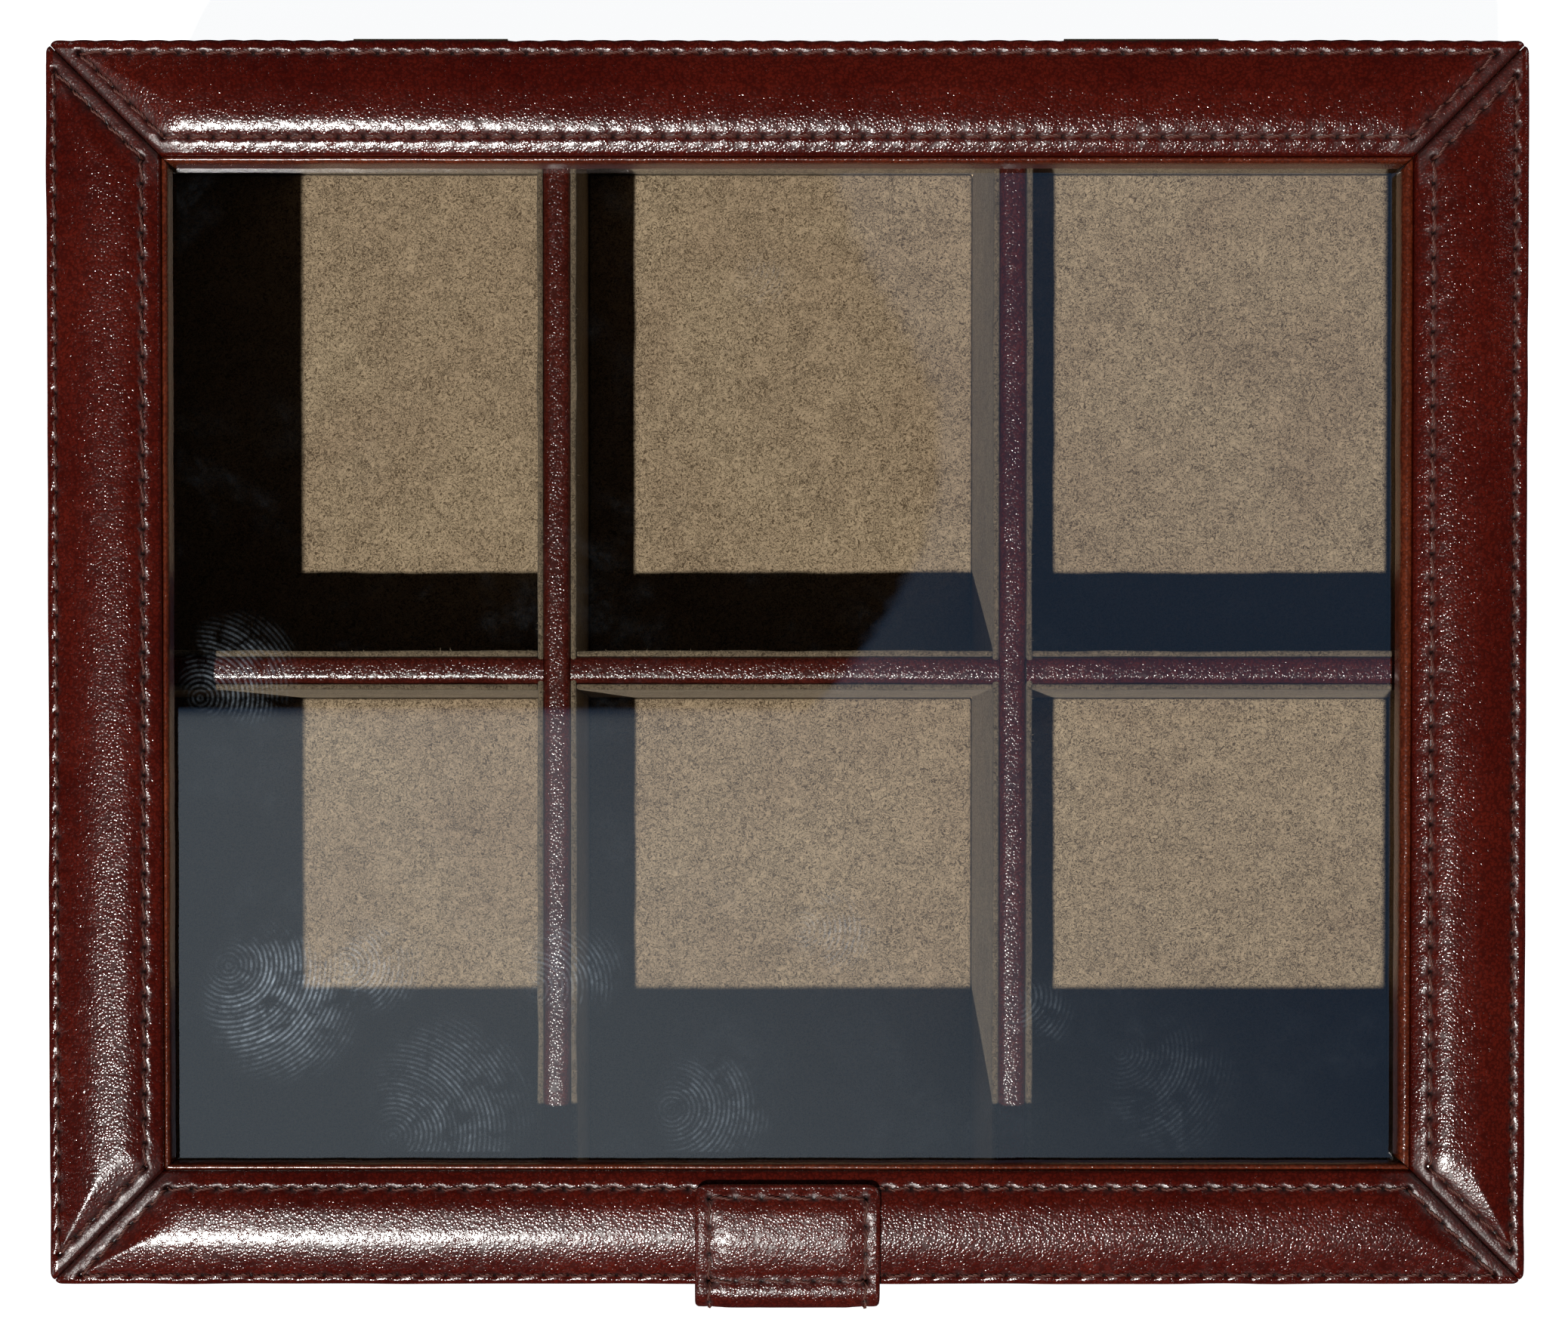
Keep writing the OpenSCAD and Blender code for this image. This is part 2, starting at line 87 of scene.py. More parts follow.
LEAF_LOW = box_mm("lid_hinge_leaves")[0]
TAB_LOW, TAB_HIGH = box_mm("latch_tab")
FLAP_LOW, FLAP_HIGH = box_mm("latch_flap")
GLASS_TOP = box_mm("window_glass")[1][2]
CORNER_R = 2.0
SEAM_GAP = 0.10
BASE_TURN = RIM_Z - BOARD_TOP

# ---- Sizes of the padding and the stitches, in millimetres ----

STITCH_OUTER = (1.6, 2.4, 2.2, 1.6)
STITCH_INNER = 2.9
STITCH_MITRE = 2.5
PITCH = 4.06
THREAD_R = 0.165
PEAK_T = 10.5
OUTER_DROP = 2.0
INNER_DROP = 0.95
EDGE_FALL = 0.95
EDGE_Z = LID_TOP - INNER_DROP - EDGE_FALL
EDGE_R = 1.3
EDGE_IN_R = 0.55
MITRE_REACH = 6.0
TABLE_SIZE = 256
GROOVE_R, GROOVE_DEEP, GROOVE_WAVE = 0.50, 0.18, 0.07
LOBE_R, LOBE_H = 1.3, 0.055
HOLE_DEEP, HOLE_LONG, HOLE_WIDE = 0.55, 0.34, 0.26
SEAM_DEEP, SEAM_R = 0.55, 0.40
VALLEY_DEEP, VALLEY_R = 0.25, 1.4


# ---- Numbers and fields ----

def smooth(low, high, x):
    """0 below low, 1 above high, with a smooth step between."""
    u = np.clip((x - low) / (high - low), 0, 1)
    return u * u * (3 - 2 * u)


def noise(x, y, seed):
    """Smooth value noise from -1 to 1 on a lattice of one unit."""
    table = np.random.default_rng(seed).uniform(-1, 1, (TABLE_SIZE, TABLE_SIZE))
    x0, y0 = np.floor(x).astype(int), np.floor(y).astype(int)
    u, v = x - x0, y - y0
    u, v = u * u * (3 - 2 * u), v * v * (3 - 2 * v)
    a, b = x0 % TABLE_SIZE, (x0 + 1) % TABLE_SIZE
    c, d = y0 % TABLE_SIZE, (y0 + 1) % TABLE_SIZE
    low = table[a, c] * (1 - u) + table[b, c] * u
    high = table[a, d] * (1 - u) + table[b, d] * u
    return low * (1 - v) + high * v


def rounded(gap, r):
    """How far an edge or corner of radius r stands back, gap away from the end."""
    return r - np.sqrt(np.maximum(0, r**2 - (r - np.clip(gap, 0, r)) ** 2))


def soft_min(values, k):
    """Smallest of several fields, rounded where two are closer than about k."""
    return -k * np.log(sum(np.exp(-v / k) for v in values))


class Row:
    """A straight row of stitches from one corner to another, in a flat (a, b) plane."""

    def __init__(self, start, end):
        self.start, self.end = np.array(start, float), np.array(end, float)
        self.length = float(np.linalg.norm(self.end - self.start))
        self.count = max(2, round(self.length / PITCH))
        self.pitch = self.length / self.count
        self.along = (self.end - self.start) / self.length
        self.across = np.array([-self.along[1], self.along[0]])

    def near(self, a, b):
        """Distance along the row, signed distance across it, and distance to it."""
        da, db = a - self.start[0], b - self.start[1]
        u = da * self.along[0] + db * self.along[1]
        d = da * self.across[0] + db * self.across[1]
        past = np.maximum(0, np.maximum(-u, u - self.length))
        return u, d, np.sqrt(d * d + past * past)

    def sink(self, a, b, seed):
        """How far leather rises, or sinks if negative, round the row."""
        u, d, gap = self.near(a, b)
        wave = np.cos(2 * math.pi * u / self.pitch)
        groove = -np.exp(-((gap / GROOVE_R) ** 2)) * (GROOVE_DEEP + GROOVE_WAVE * wave)
        lobes = -LOBE_H * wave * np.exp(-((gap / LOBE_R) ** 2))
        k = np.clip(np.round(u / self.pitch), 0, self.count) * self.pitch
        holes = -HOLE_DEEP * np.exp(-(((u - k) / HOLE_LONG) ** 2 + (d / HOLE_WIDE) ** 2))
        folds = noise(u / 0.45, d / 2.4 + 40, seed) * np.exp(-gap / 1.3) * 0.030
        folds += noise(u / 1.2, d / 3.0 + 90, seed + 1) * np.exp(-gap / 2.2) * 0.035
        return groove + lobes + holes + folds


def side_spans(side):
    """Half the length of a side."""
    return HALF_W if side % 2 == 0 else HALF_D


def strip_rows(side):
    """The closed run of stitches on one strip."""
    along = side_spans(side)
    shift = STITCH_MITRE * math.sqrt(2)
    low, high = STITCH_OUTER[side], FRAME_W - STITCH_INNER
    corners = [(-along + low + shift, low), (along - low - shift, low),
               (along - high - shift, high), (-along + high + shift, high)]
    return [Row(corners[i], corners[(i + 1) % 4]) for i in range(4)]


ROWS = {side: strip_rows(side) for side in range(4)}


def settled(side, s):
    """How much deeper the padding has settled towards the window, along the back and the right."""
    if side == 1:
        return 0.30 * smooth(40, -50, s)
    return 0.26 * (smooth(20, 75, s) - 0.45) if side == 2 else 0 * s


def crown(side, s, t):
    """Height of the smooth padded surface, without stitches: its peak lies nearer the window, and
    the leather falls away to the outer row, to the inner row and to the mitres."""
    outer, inner = STITCH_OUTER[side], FRAME_W - STITCH_INNER
    mitre = (side_spans(side) - t - np.abs(s)) / math.sqrt(2)
    level = np.clip((t - outer) / (inner - outer), 0, 1)
    base = OUTER_DROP + (INNER_DROP - OUTER_DROP) * level
    swell = 1 + 0.06 * noise(s / 23, t / 14, 11 + side)
    from_outer = np.clip((t - outer) / (PEAK_T - outer), 0, 1)
    from_inner = np.clip((inner - t) / (inner - PEAK_T), 0, 1)
    from_mitre = np.clip((mitre - STITCH_MITRE) / MITRE_REACH, 0, 1)
    drops = [OUTER_DROP * (1 - from_outer) ** 2.0 * swell,
             INNER_DROP * (1 - from_inner) ** 2.6 * (swell + settled(side, s)),
             base * (1 - from_mitre) ** 2.2]
    fall = soft_min([-d for d in drops], 0.05)
    past = np.clip((t - inner) / STITCH_INNER, 0, 1)
    fall = fall - EDGE_FALL * past**1.5 + 0.04 * np.sin(math.pi * past)
    seam = SEAM_DEEP * np.exp(-((mitre / SEAM_R) ** 2))
    valley = VALLEY_DEEP * np.exp(-((mitre / VALLEY_R) ** 2))
    return LID_TOP + 0.02 + fall - seam - valley


def leather_top(side, s, t):
    """Height of the padded leather, with its stitch grooves, holes and folds."""
    z = crown(side, s, t)
    for i, row in enumerate(ROWS[side]):
        z = z + row.sink(s, t, 100 + 10 * side + i)
    return z + 0.010 * noise((s + t) / 2.3, (t - s) / 2.3, 31 + side)


# ---- Meshes ----

def make_mesh(name, points, faces, material, tone=None):
    """An object from points in millimetres. tone is the dark or worn shade at each point; most of its
    dark tones are painted shade.
    """
    mesh = bpy.data.meshes.new(name)
    mesh.from_pydata((np.asarray(points) * MM).tolist(), [], faces)
    if tone is not None:
        shade = mesh.attributes.new("tone", "FLOAT", "POINT")
        shade.data.foreach_set("value", np.asarray(tone, np.float32).ravel())
    mesh.shade_smooth()
    mesh.update()
    piece = bpy.data.objects.new(name, mesh)
    bpy.context.scene.collection.objects.link(piece)
    piece.data.materials.append(material)
    return piece


def tube_faces(columns, ring, first=0):
    """Faces of a closed tube: rings of points one after another, capped at both ends."""
    at = first + np.arange(columns * ring).reshape(columns, ring)
    a, b = at[:-1], at[1:]
    nxt = np.roll(a, -1, axis=1), np.roll(b, -1, axis=1)
    quads = np.stack([a, nxt[0], nxt[1], b], axis=-1).reshape(-1, 4).tolist()
    return quads + [at[0][::-1].tolist(), at[-1].tolist()]


def outward(piece):
    """Turns all faces to look outward."""
    import bmesh
    work = bmesh.new()
    work.from_mesh(piece.data)
    bmesh.ops.recalc_face_normals(work, faces=work.faces)
    work.to_mesh(piece.data)
    work.free()
    return piece


def crisp(piece, angle=40):
    """Smooth shading that keeps edges sharper than the angle."""
    piece.data.set_sharp_from_angle(angle=math.radians(angle))
    return piece


def finish_piece(piece, body, slot, *nodes):
    """Body and the CAD nodes that the piece stands for; slot is not used."""
    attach(piece, body)
    if nodes:
        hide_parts(*nodes)
    return piece


def on_side(side, s, t, z):
    """World points, in millimetres, of a side's own coordinates, with rounded case corners."""
    across = HALF_D if side % 2 == 0 else HALF_W
    x, y = s, t - across
    turn = [(1, 0), (0, 1), (-1, 0), (0, -1)][side]
    x, y = x * turn[0] - y * turn[1], x * turn[1] + y * turn[0]
    dx = np.maximum(0, np.abs(x) - (HALF_W - CORNER_R))
    dy = np.maximum(0, np.abs(y) - (HALF_D - CORNER_R))
    both = (dx > 0) & (dy > 0)
    scale = np.where(both, np.maximum(dx, dy) / np.maximum(np.hypot(dx, dy), 1e-9), 1)
    x = np.where(both, np.sign(x) * (HALF_W - CORNER_R + dx * scale), x)
    y = np.where(both, np.sign(y) * (HALF_D - CORNER_R + dy * scale), y)
    return np.stack(np.broadcast_arrays(x, y, z), axis=-1)


def side_columns(side, spacing, cuts=()):
    """Places from -1 to 1 along a side, with doubled places at each cut, given in mm."""
    length = side_spans(side)
    places = np.linspace(-1, 1, max(3, int(2 * length / spacing)))
    edges = [c / length for c in cuts]
    extra = [e + d for e in edges for d in (-0.0001, 0.0001)]
    return np.unique(np.concatenate([places, extra]))


def side_mesh(name, side, ring_t, shape, material, spacing, cuts=(), tone=None):
    """A mitred frame piece: a closed ring of points swept along one side.
    shape(s, t) gives the ring's final t and z; tone(s, t) its shade."""
    v = side_columns(side, spacing, cuts)[:, None]
    s = v * (side_spans(side) - ring_t[None, :] - SEAM_GAP)
    t0 = np.broadcast_to(ring_t, s.shape)
    t, z = shape(s, t0)
    points = on_side(side, s, t, z)
    shade = None if tone is None else tone(s, t0)
    return outward(make_mesh(name, points.reshape(-1, 3), tube_faces(*s.shape), material, shade))


# ---- Materials ----

def tree_of(name):
    material = bpy.data.materials.new(name)
    material.use_nodes = True
    material.node_tree.nodes.clear()
    return material, material.node_tree


def add(tree, kind, inputs=None, **settings):
    """A node with its settings and inputs; an input that is a socket is linked."""
    node = tree.nodes.new(kind)
    for key, value in settings.items():
        setattr(node, key, value)
    for key, value in (inputs or {}).items():
        if isinstance(value, bpy.types.NodeSocket):
            tree.links.new(value, node.inputs[key])
        else:
            node.inputs[key].default_value = value
    return node


def millimetres(tree, stretch=(1, 1, 1)):
    """Object coordinates in millimetres."""
    at = add(tree, "ShaderNodeTexCoord")
    scale = [k / MM for k in stretch]
    return add(tree, "ShaderNodeMapping", {"Vector": at.outputs["Object"], "Scale": scale}).outputs[0]


def noise_field(tree, vector, scale, detail=3, rough=0.55, distortion=0):
    """Noise from 0 to 1, scale in cells per millimetre."""
    node = add(tree, "ShaderNodeTexNoise", {"Vector": vector, "Scale": scale, "Detail": detail,
                                           "Roughness": rough, "Distortion": distortion})
    return node.outputs["Fac"]


def ramp(tree, value, stops):
    """Colours at places from 0 to 1."""
    node = add(tree, "ShaderNodeValToRGB", {"Fac": value})
    bar = node.color_ramp.elements
    while len(bar) < len(stops):
        bar.new(0.5)
    for element, (place, colour) in zip(bar, stops):
        element.position = place
        element.color = (*colour, 1)
    return node.outputs["Color"]


def math_node(tree, operation, a, b=0.0, clamp=False):
    return add(tree, "ShaderNodeMath", {0: a, 1: b}, operation=operation, use_clamp=clamp).outputs[0]


def remap(tree, value, low, high, to_low=0.0, to_high=1.0):
    return add(tree, "ShaderNodeMapRange", {"Value": value, "From Min": low, "From Max": high,
                                            "To Min": to_low, "To Max": to_high}).outputs[0]


def blend_colour(tree, factor, a, b, kind="MIX"):
    node = add(tree, "ShaderNodeMix", data_type="RGBA", blend_type=kind)
    for socket, value in ((node.inputs["Factor"], factor), (node.inputs[6], a), (node.inputs[7], b)):
        if isinstance(value, bpy.types.NodeSocket):
            tree.links.new(value, socket)
        else:
            socket.default_value = (*value, 1) if isinstance(value, tuple) else value
    return node.outputs[2]


def bump(tree, height, distance, strength=1.0, normal=None):
    """distance is in millimetres."""
    inputs = {"Height": height, "Distance": distance * MM, "Strength": strength}
    if normal is not None:
        inputs["Normal"] = normal
    return add(tree, "ShaderNodeBump", inputs).outputs[0]


def close(tree, **inputs):
    """Principled surface and output."""
    names = {key.replace("_", " "): value for key, value in inputs.items()}
    shader = add(tree, "ShaderNodeBsdfPrincipled", names)
    add(tree, "ShaderNodeOutputMaterial", {"Surface": shader.outputs[0]})
    return shader


def tone_of(tree):
    return add(tree, "ShaderNodeAttribute", attribute_name="tone").outputs["Fac"]


GRAIN_SCALE = 2.0
DOME_EDGE = 0.34


def leather_material(name, deep, lit, gloss=0.18, grain=1.0):
    """Glazed leather: pebble grain, pores, mottled dye, dark creases and rubbed ridges, and painted
    shade where the tone is low.
    """
    material, tree = tree_of(name)
    at = millimetres(tree)
    warp = add(tree, "ShaderNodeTexNoise", {"Vector": at, "Scale": 1.1, "Detail": 2}).outputs["Color"]
    moved = add(tree, "ShaderNodeVectorMath", {0: warp, "Scale": 0.5}, operation="SCALE").outputs[0]
    at_warped = add(tree, "ShaderNodeVectorMath", {0: at, 1: moved}, operation="ADD").outputs[0]
    cells = add(tree, "ShaderNodeTexVoronoi", {"Vector": at_warped, "Scale": GRAIN_SCALE,
                                               "Randomness": 0.95})
    far = cells.outputs["Distance"]
    dome = math_node(tree, "SUBTRACT", DOME_EDGE, math_node(tree, "MULTIPLY", far, far))
    dome = math_node(tree, "MAXIMUM", dome, 0.0)
    chance = add(tree, "ShaderNodeSeparateColor", {0: cells.outputs["Color"]}).outputs[0]
    proud = remap(tree, math_node(tree, "POWER", chance, 5.0), 0.0, 1.0, 0.95, 2.6)
    pebble = math_node(tree, "MULTIPLY", dome, proud)
    facet = noise_field(tree, at_warped, 1.1, 2, 0.5)
    fine = noise_field(tree, at, 6.0, 3, 0.6)
    soft = noise_field(tree, at, 0.45, 3, 0.5)
    dye = noise_field(tree, at, 0.045, 4, 0.6)
    dye_small = noise_field(tree, at, 0.6, 3, 0.65)
    tone = tone_of(tree)
    base = ramp(tree, dye, [(0.30, deep), (0.72, lit)])
    speck = ramp(tree, dye_small, [(0.35, (0.80, 0.76, 0.76)), (0.65, (1.14, 1.16, 1.14))])
    base = blend_colour(tree, 1.0, base, speck, "MULTIPLY")
    crease = remap(tree, dome, 0.0, 0.14, 0.50, 1.0)
    base = blend_colour(tree, crease, tuple(c * 0.30 for c in deep), base)
    # Painted shade: a low tone darkens the stitch holes, grooves and mitres towards near black.
    dark = remap(tree, tone, -0.60, -0.05, 0.9, 0.0)
    base = blend_colour(tree, dark, base, tuple(c * 0.10 for c in deep))
    rub = remap(tree, tone, 0.02, 0.40, 0.0, 0.30)
    base = blend_colour(tree, rub, base, tuple(min(1, c * 1.6 + 0.002) for c in lit))
    rough = math_node(tree, "ADD", remap(tree, fine, 0.25, 0.75, gloss - 0.03, gloss + 0.05),
                      remap(tree, soft, 0.3, 0.7, -0.02, 0.03), clamp=True)
    dull = remap(tree, tone, -0.14, -0.01, 0.24, 0.0)
    rough = math_node(tree, "ADD", rough, dull, clamp=True)
    normal = bump(tree, pebble, 0.068 * grain, 1.0)
    normal = bump(tree, facet, 0.020 * grain, 1.0, normal)
    normal = bump(tree, fine, 0.003 * grain, 1.0, normal)
    normal = bump(tree, soft, 0.020 * grain, 1.0, normal)
    close(tree, Base_Color=base, Roughness=rough, Normal=normal, Specular_IOR_Level=0.40)
    return material


def suede_material(name, dark, light):
    """Brushed suede: a short curly nap in soft clouds."""
    material, tree = tree_of(name)
    at = millimetres(tree)
    curl = noise_field(tree, at, 1.0, 3, 0.6, 2.8)
    tuft = noise_field(tree, at, 1.35, 3, 0.7, 1.6)
    fibre = math_node(tree, "ABSOLUTE", math_node(tree, "SUBTRACT", curl, 0.5))
    fibre = remap(tree, fibre, 0.0, 0.13, 1.0, 0.0)
    cloud = noise_field(tree, at, 0.030, 3, 0.55, 0.8)
    patch = noise_field(tree, at, 0.17, 3, 0.6, 0.5)
    shade = math_node(tree, "ADD", math_node(tree, "MULTIPLY", tuft, 0.66),
                      math_node(tree, "MULTIPLY", fibre, 0.34))
    shade = math_node(tree, "ADD", shade, math_node(tree, "MULTIPLY", patch, 0.20))
    base = ramp(tree, shade, [(0.46, dark), (0.73, light)])
    base = blend_colour(tree, 1.0, base,
                        ramp(tree, cloud, [(0.32, (0.90, 0.87, 0.86)), (0.7, (1.08, 1.09, 1.08))]),
                        "MULTIPLY")
    worn = remap(tree, tone_of(tree), 0.0, 1.0, 0.0, 0.7)
    base = blend_colour(tree, worn, base, tuple(min(1, c * 1.25) for c in light))
    # A tone below zero darkens the suede: painted shade on the lid lining's inner edges; the top edges
    # of the divider panels are darker too.
    painted_shade_and_dark_edges = remap(tree, tone_of(tree), -1.0, 0.0, 0.95, 0.0)
    base = blend_colour(tree, painted_shade_and_dark_edges, base, tuple(c * 0.16 for c in dark))
    normal = bump(tree, fibre, 0.05, 1.0)
    normal = bump(tree, tuft, 0.13, 1.0, normal)
    close(tree, Base_Color=base, Roughness=0.95, Normal=normal, Specular_IOR_Level=0.15,
          Sheen_Weight=0.06, Sheen_Roughness=0.5, Sheen_Tint=(0.95, 0.88, 0.78, 1))
    return material


def thread_material():
    """Waxed maroon thread with paler rubbed fibres."""
    material, tree = tree_of("waxed_thread")
    at = millimetres(tree)
    fibre = noise_field(tree, at, 7.0, 3, 0.7)
    patch = noise_field(tree, at, 0.6, 2)
    base = ramp(tree, fibre, [(0.3, (0.030, 0.007, 0.0045)), (0.58, (0.062, 0.019, 0.013)),
                              (0.78, (0.135, 0.068, 0.052))])
    base = blend_colour(tree, remap(tree, patch, 0.40, 0.75, 0.0, 0.5), base, (0.035, 0.006, 0.004))
    close(tree, Base_Color=base, Roughness=remap(tree, fibre, 0.3, 0.7, 0.42, 0.7),
          Normal=bump(tree, fibre, 0.05, 0.7), Specular_IOR_Level=0.3)
    return material


def metal_material(name, colour, roughness):
    """Satin metal with fine scratches and dull patches."""
    material, tree = tree_of(name)
    at = millimetres(tree)
    scratches = noise_field(tree, millimetres(tree, (0.12, 2.2, 2.2)), 3.0, 4, 0.7)
    patch = noise_field(tree, at, 0.35, 4, 0.6)
    base = ramp(tree, patch, [(0.3, tuple(c * 0.62 for c in colour)), (0.7, colour)])
    close(tree, Base_Color=base, Metallic=1.0,
          Roughness=remap(tree, scratches, 0.3, 0.7, roughness - 0.07, roughness + 0.12),
          Normal=bump(tree, scratches, 0.02, 0.5))
    return material


def board_material():
    """Plain softwood with growth lines, hidden inside the case."""
    material, tree = tree_of("plain_wood")
    at = millimetres(tree, (0.18, 0.18, 1.0))
    rings = add(tree, "ShaderNodeTexWave", {"Vector": at, "Scale": 0.35, "Distortion": 6.0,
                                           "Detail": 3.0, "Detail Scale": 1.2}).outputs["Fac"]
    fibre = noise_field(tree, millimetres(tree, (0.2, 0.2, 3.0)), 1.4, 4, 0.65)
    base = ramp(tree, rings, [(0.2, (0.42, 0.27, 0.15)), (0.8, (0.60, 0.43, 0.26))])
    base = blend_colour(tree, remap(tree, fibre, 0.35, 0.75, 0.0, 0.5), base, (0.30, 0.18, 0.09))
    close(tree, Base_Color=base, Roughness=0.7, Normal=bump(tree, fibre, 0.08, 0.6))
    return material


def foam_material():
    """Open cell foam."""
    material, tree = tree_of("open_foam")
    at = millimetres(tree)
    cells = add(tree, "ShaderNodeTexVoronoi", {"Vector": at, "Scale": 1.6}).outputs["Distance"]
    base = ramp(tree, cells, [(0.1, (0.45, 0.38, 0.24)), (0.6, (0.80, 0.74, 0.58))])
    close(tree, Base_Color=base, Roughness=0.95, Normal=bump(tree, cells, 0.3, 0.8))
    return material


def felt_material():
    """Dark pressed felt with matted fibres."""
    material, tree = tree_of("dark_felt")
    at = millimetres(tree)
    fibre = noise_field(tree, at, 2.4, 6, 0.75, 1.6)
    cloud = noise_field(tree, at, 0.05, 3)
    base = ramp(tree, fibre, [(0.3, (0.012, 0.008, 0.007)), (0.7, (0.060, 0.042, 0.036))])
    shade = ramp(tree, cloud, [(0.3, (0.8, 0.8, 0.8)), (0.7, (1.2, 1.2, 1.2))])
    base = blend_colour(tree, 1.0, base, shade, "MULTIPLY")
    close(tree, Base_Color=base, Roughness=0.96, Normal=bump(tree, fibre, 0.25, 0.8),
          Sheen_Weight=0.3, Sheen_Roughness=0.5)
    return material


SMEARS = (((-84, -56), 15, 0.85), ((-68, -50), 9, 0.55), ((-91, -1), 11, 0.55), ((-4, 64), 6, 0.45),
          ((8, -44), 9, 0.45), ((-36, -50), 10, 0.40), ((42, -58), 7, 0.30), ((-12, -74), 12, 0.30),
          ((-56, -72), 16, 0.35), ((64, -70), 14, 0.18))


def smears(tree, at):
    """Faint finger marks on the pane: ridges round each place, worn away in patches."""
    worn = remap(tree, noise_field(tree, at, 0.22, 5, 0.7, 0.7), 0.38, 0.62)
    worn_small = remap(tree, noise_field(tree, at, 1.1, 4, 0.75), 0.36, 0.62, 0.15, 1.0)
    total = remap(tree, noise_field(tree, at, 0.03, 4, 0.6, 1.5), 0.5, 0.8, 0.0, 0.10)
    for number, ((x, y), size, strength) in enumerate(SMEARS):
        place = add(tree, "ShaderNodeVectorMath", {0: at, 1: (x, y, GLASS_TOP)}, operation="SUBTRACT")
        far = add(tree, "ShaderNodeVectorMath", {0: place.outputs[0]}, operation="LENGTH")
        near = add(tree, "ShaderNodeMapRange", {"Value": far.outputs["Value"], "From Min": size * 0.25,
                                                "From Max": size, "To Min": strength, "To Max": 0.0},
                   interpolation_type="SMOOTHSTEP").outputs[0]
        moved = add(tree, "ShaderNodeVectorMath",
                    {0: place.outputs[0], 1: (size * 0.6, (number % 3 - 1) * size * 0.4, 0)},
                    operation="ADD").outputs[0]
        ridge = add(tree, "ShaderNodeTexWave", {"Vector": moved, "Scale": 0.38, "Distortion": 5.0,
                                                "Detail": 1.0, "Detail Scale": 0.16},
                    wave_type="RINGS", rings_direction="SPHERICAL").outputs["Fac"]
        mark = math_node(tree, "MULTIPLY", near, remap(tree, ridge, 0.35, 0.75, 0.1, 1.2))
        total = math_node(tree, "ADD", total, mark)
    return math_node(tree, "MULTIPLY", total, math_node(tree, "MULTIPLY", worn, worn_small))


def glass_material():
    """Clear pane that lets light through, with a mirror reflection and finger marks. Only the
    side that faces the viewer mirrors, with the strength of both faces."""
    material, tree = tree_of("window_pane")
    at = millimetres(tree)
    clear = add(tree, "ShaderNodeBsdfTransparent", {"Color": (0.975, 0.985, 0.98, 1)})
    mirror = add(tree, "ShaderNodeBsdfGlossy", {"Color": (1, 1, 1, 1), "Roughness": 0.0})
    smear = math_node(tree, "MULTIPLY", smears(tree, at), 0.075, clamp=True)
    haze = add(tree, "ShaderNodeBsdfGlossy", {"Color": (0.72, 0.86, 1.0, 1), "Roughness": 0.5})
    fresnel = add(tree, "ShaderNodeFresnel", {"IOR": 1.8}).outputs[0]
    back = add(tree, "ShaderNodeNewGeometry").outputs["Backfacing"]
    front = math_node(tree, "SUBTRACT", 1.0, back)
    pane = add(tree, "ShaderNodeMixShader", {0: math_node(tree, "MULTIPLY", fresnel, front),
                                             1: clear.outputs[0], 2: mirror.outputs[0]})
    dirty = add(tree, "ShaderNodeMixShader", {0: math_node(tree, "MULTIPLY", smear, front),
                                              1: pane.outputs[0], 2: haze.outputs[0]})
    add(tree, "ShaderNodeOutputMaterial", {"Surface": dirty.outputs[0]})
    return material


LEATHER = leather_material("oxblood_leather", (0.027, 0.0014, 0.0005), (0.047, 0.0040, 0.0018))
LIP_LEATHER = leather_material("lip_leather", (0.042, 0.0055, 0.0018), (0.078, 0.015, 0.0052),
                               gloss=0.18, grain=0.6)
DIVIDER_LEATHER = leather_material("divider_leather", (0.028, 0.0028, 0.0016), (0.050, 0.0075, 0.0045),
                                   gloss=0.18, grain=1.4)
TAB_LEATHER = leather_material("tab_leather", (0.029, 0.0018, 0.0007), (0.050, 0.0050, 0.0024),
                               gloss=0.23, grain=1.5)
SUEDE = suede_material("tan_suede", (0.060, 0.040, 0.023), (0.285, 0.211, 0.139))
THREAD = thread_material()
BRASS = metal_material("satin_brass", (0.78, 0.56, 0.24), 0.30)
STEEL = metal_material("nickel_plate", (0.60, 0.60, 0.61), 0.25)
BOARD = board_material()
FOAM = foam_material()
FELT = felt_material()
GLASS = glass_material()

# ---- CAD nodes that stay: only their material changes ----


def paint(node, material):
    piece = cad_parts[node]
    piece.data.materials.clear()
    piece.data.materials.append(material)


for cad_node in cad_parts:
    if cad_node.endswith(("_board", "_core", "_rail")):
        paint(cad_node, BOARD)
for cad_node in ("base_hinge_leaves", "lid_hinge_leaves", "base_hinge_screws", "lid_hinge_screws",
                 "hinge_pins"):
    paint(cad_node, BRASS)
for cad_node in ("latch_keeper", "latch_magnet"):
    paint(cad_node, STEEL)
paint("window_glass", GLASS)
paint("underside_felt", FELT)

# ---- Padded leather strips of the lid ----


def arc(count, first, last):
    """Angles in radians, both ends included, from degrees."""
    return np.radians(np.linspace(first, last, count))


BACK_SCALLOP = 0.16  # how far the leather stands out between stitches at the back edge
WALL_ROWS = 10
EDGE_ROWS = 6
TOP_STEP = 0.55
ROW_STEP = 0.22
ROW_REACH = 1.3


def top_places(first, last, rows):
    """Places across the top of a strip, close together near its rows of stitches."""
    places = [first]
    while places[-1] < last - ROW_STEP:
        near = min(abs(places[-1] - row) for row in rows) < ROW_REACH
        places.append(places[-1] + (ROW_STEP if near else TOP_STEP))
    return np.array(places[1:])


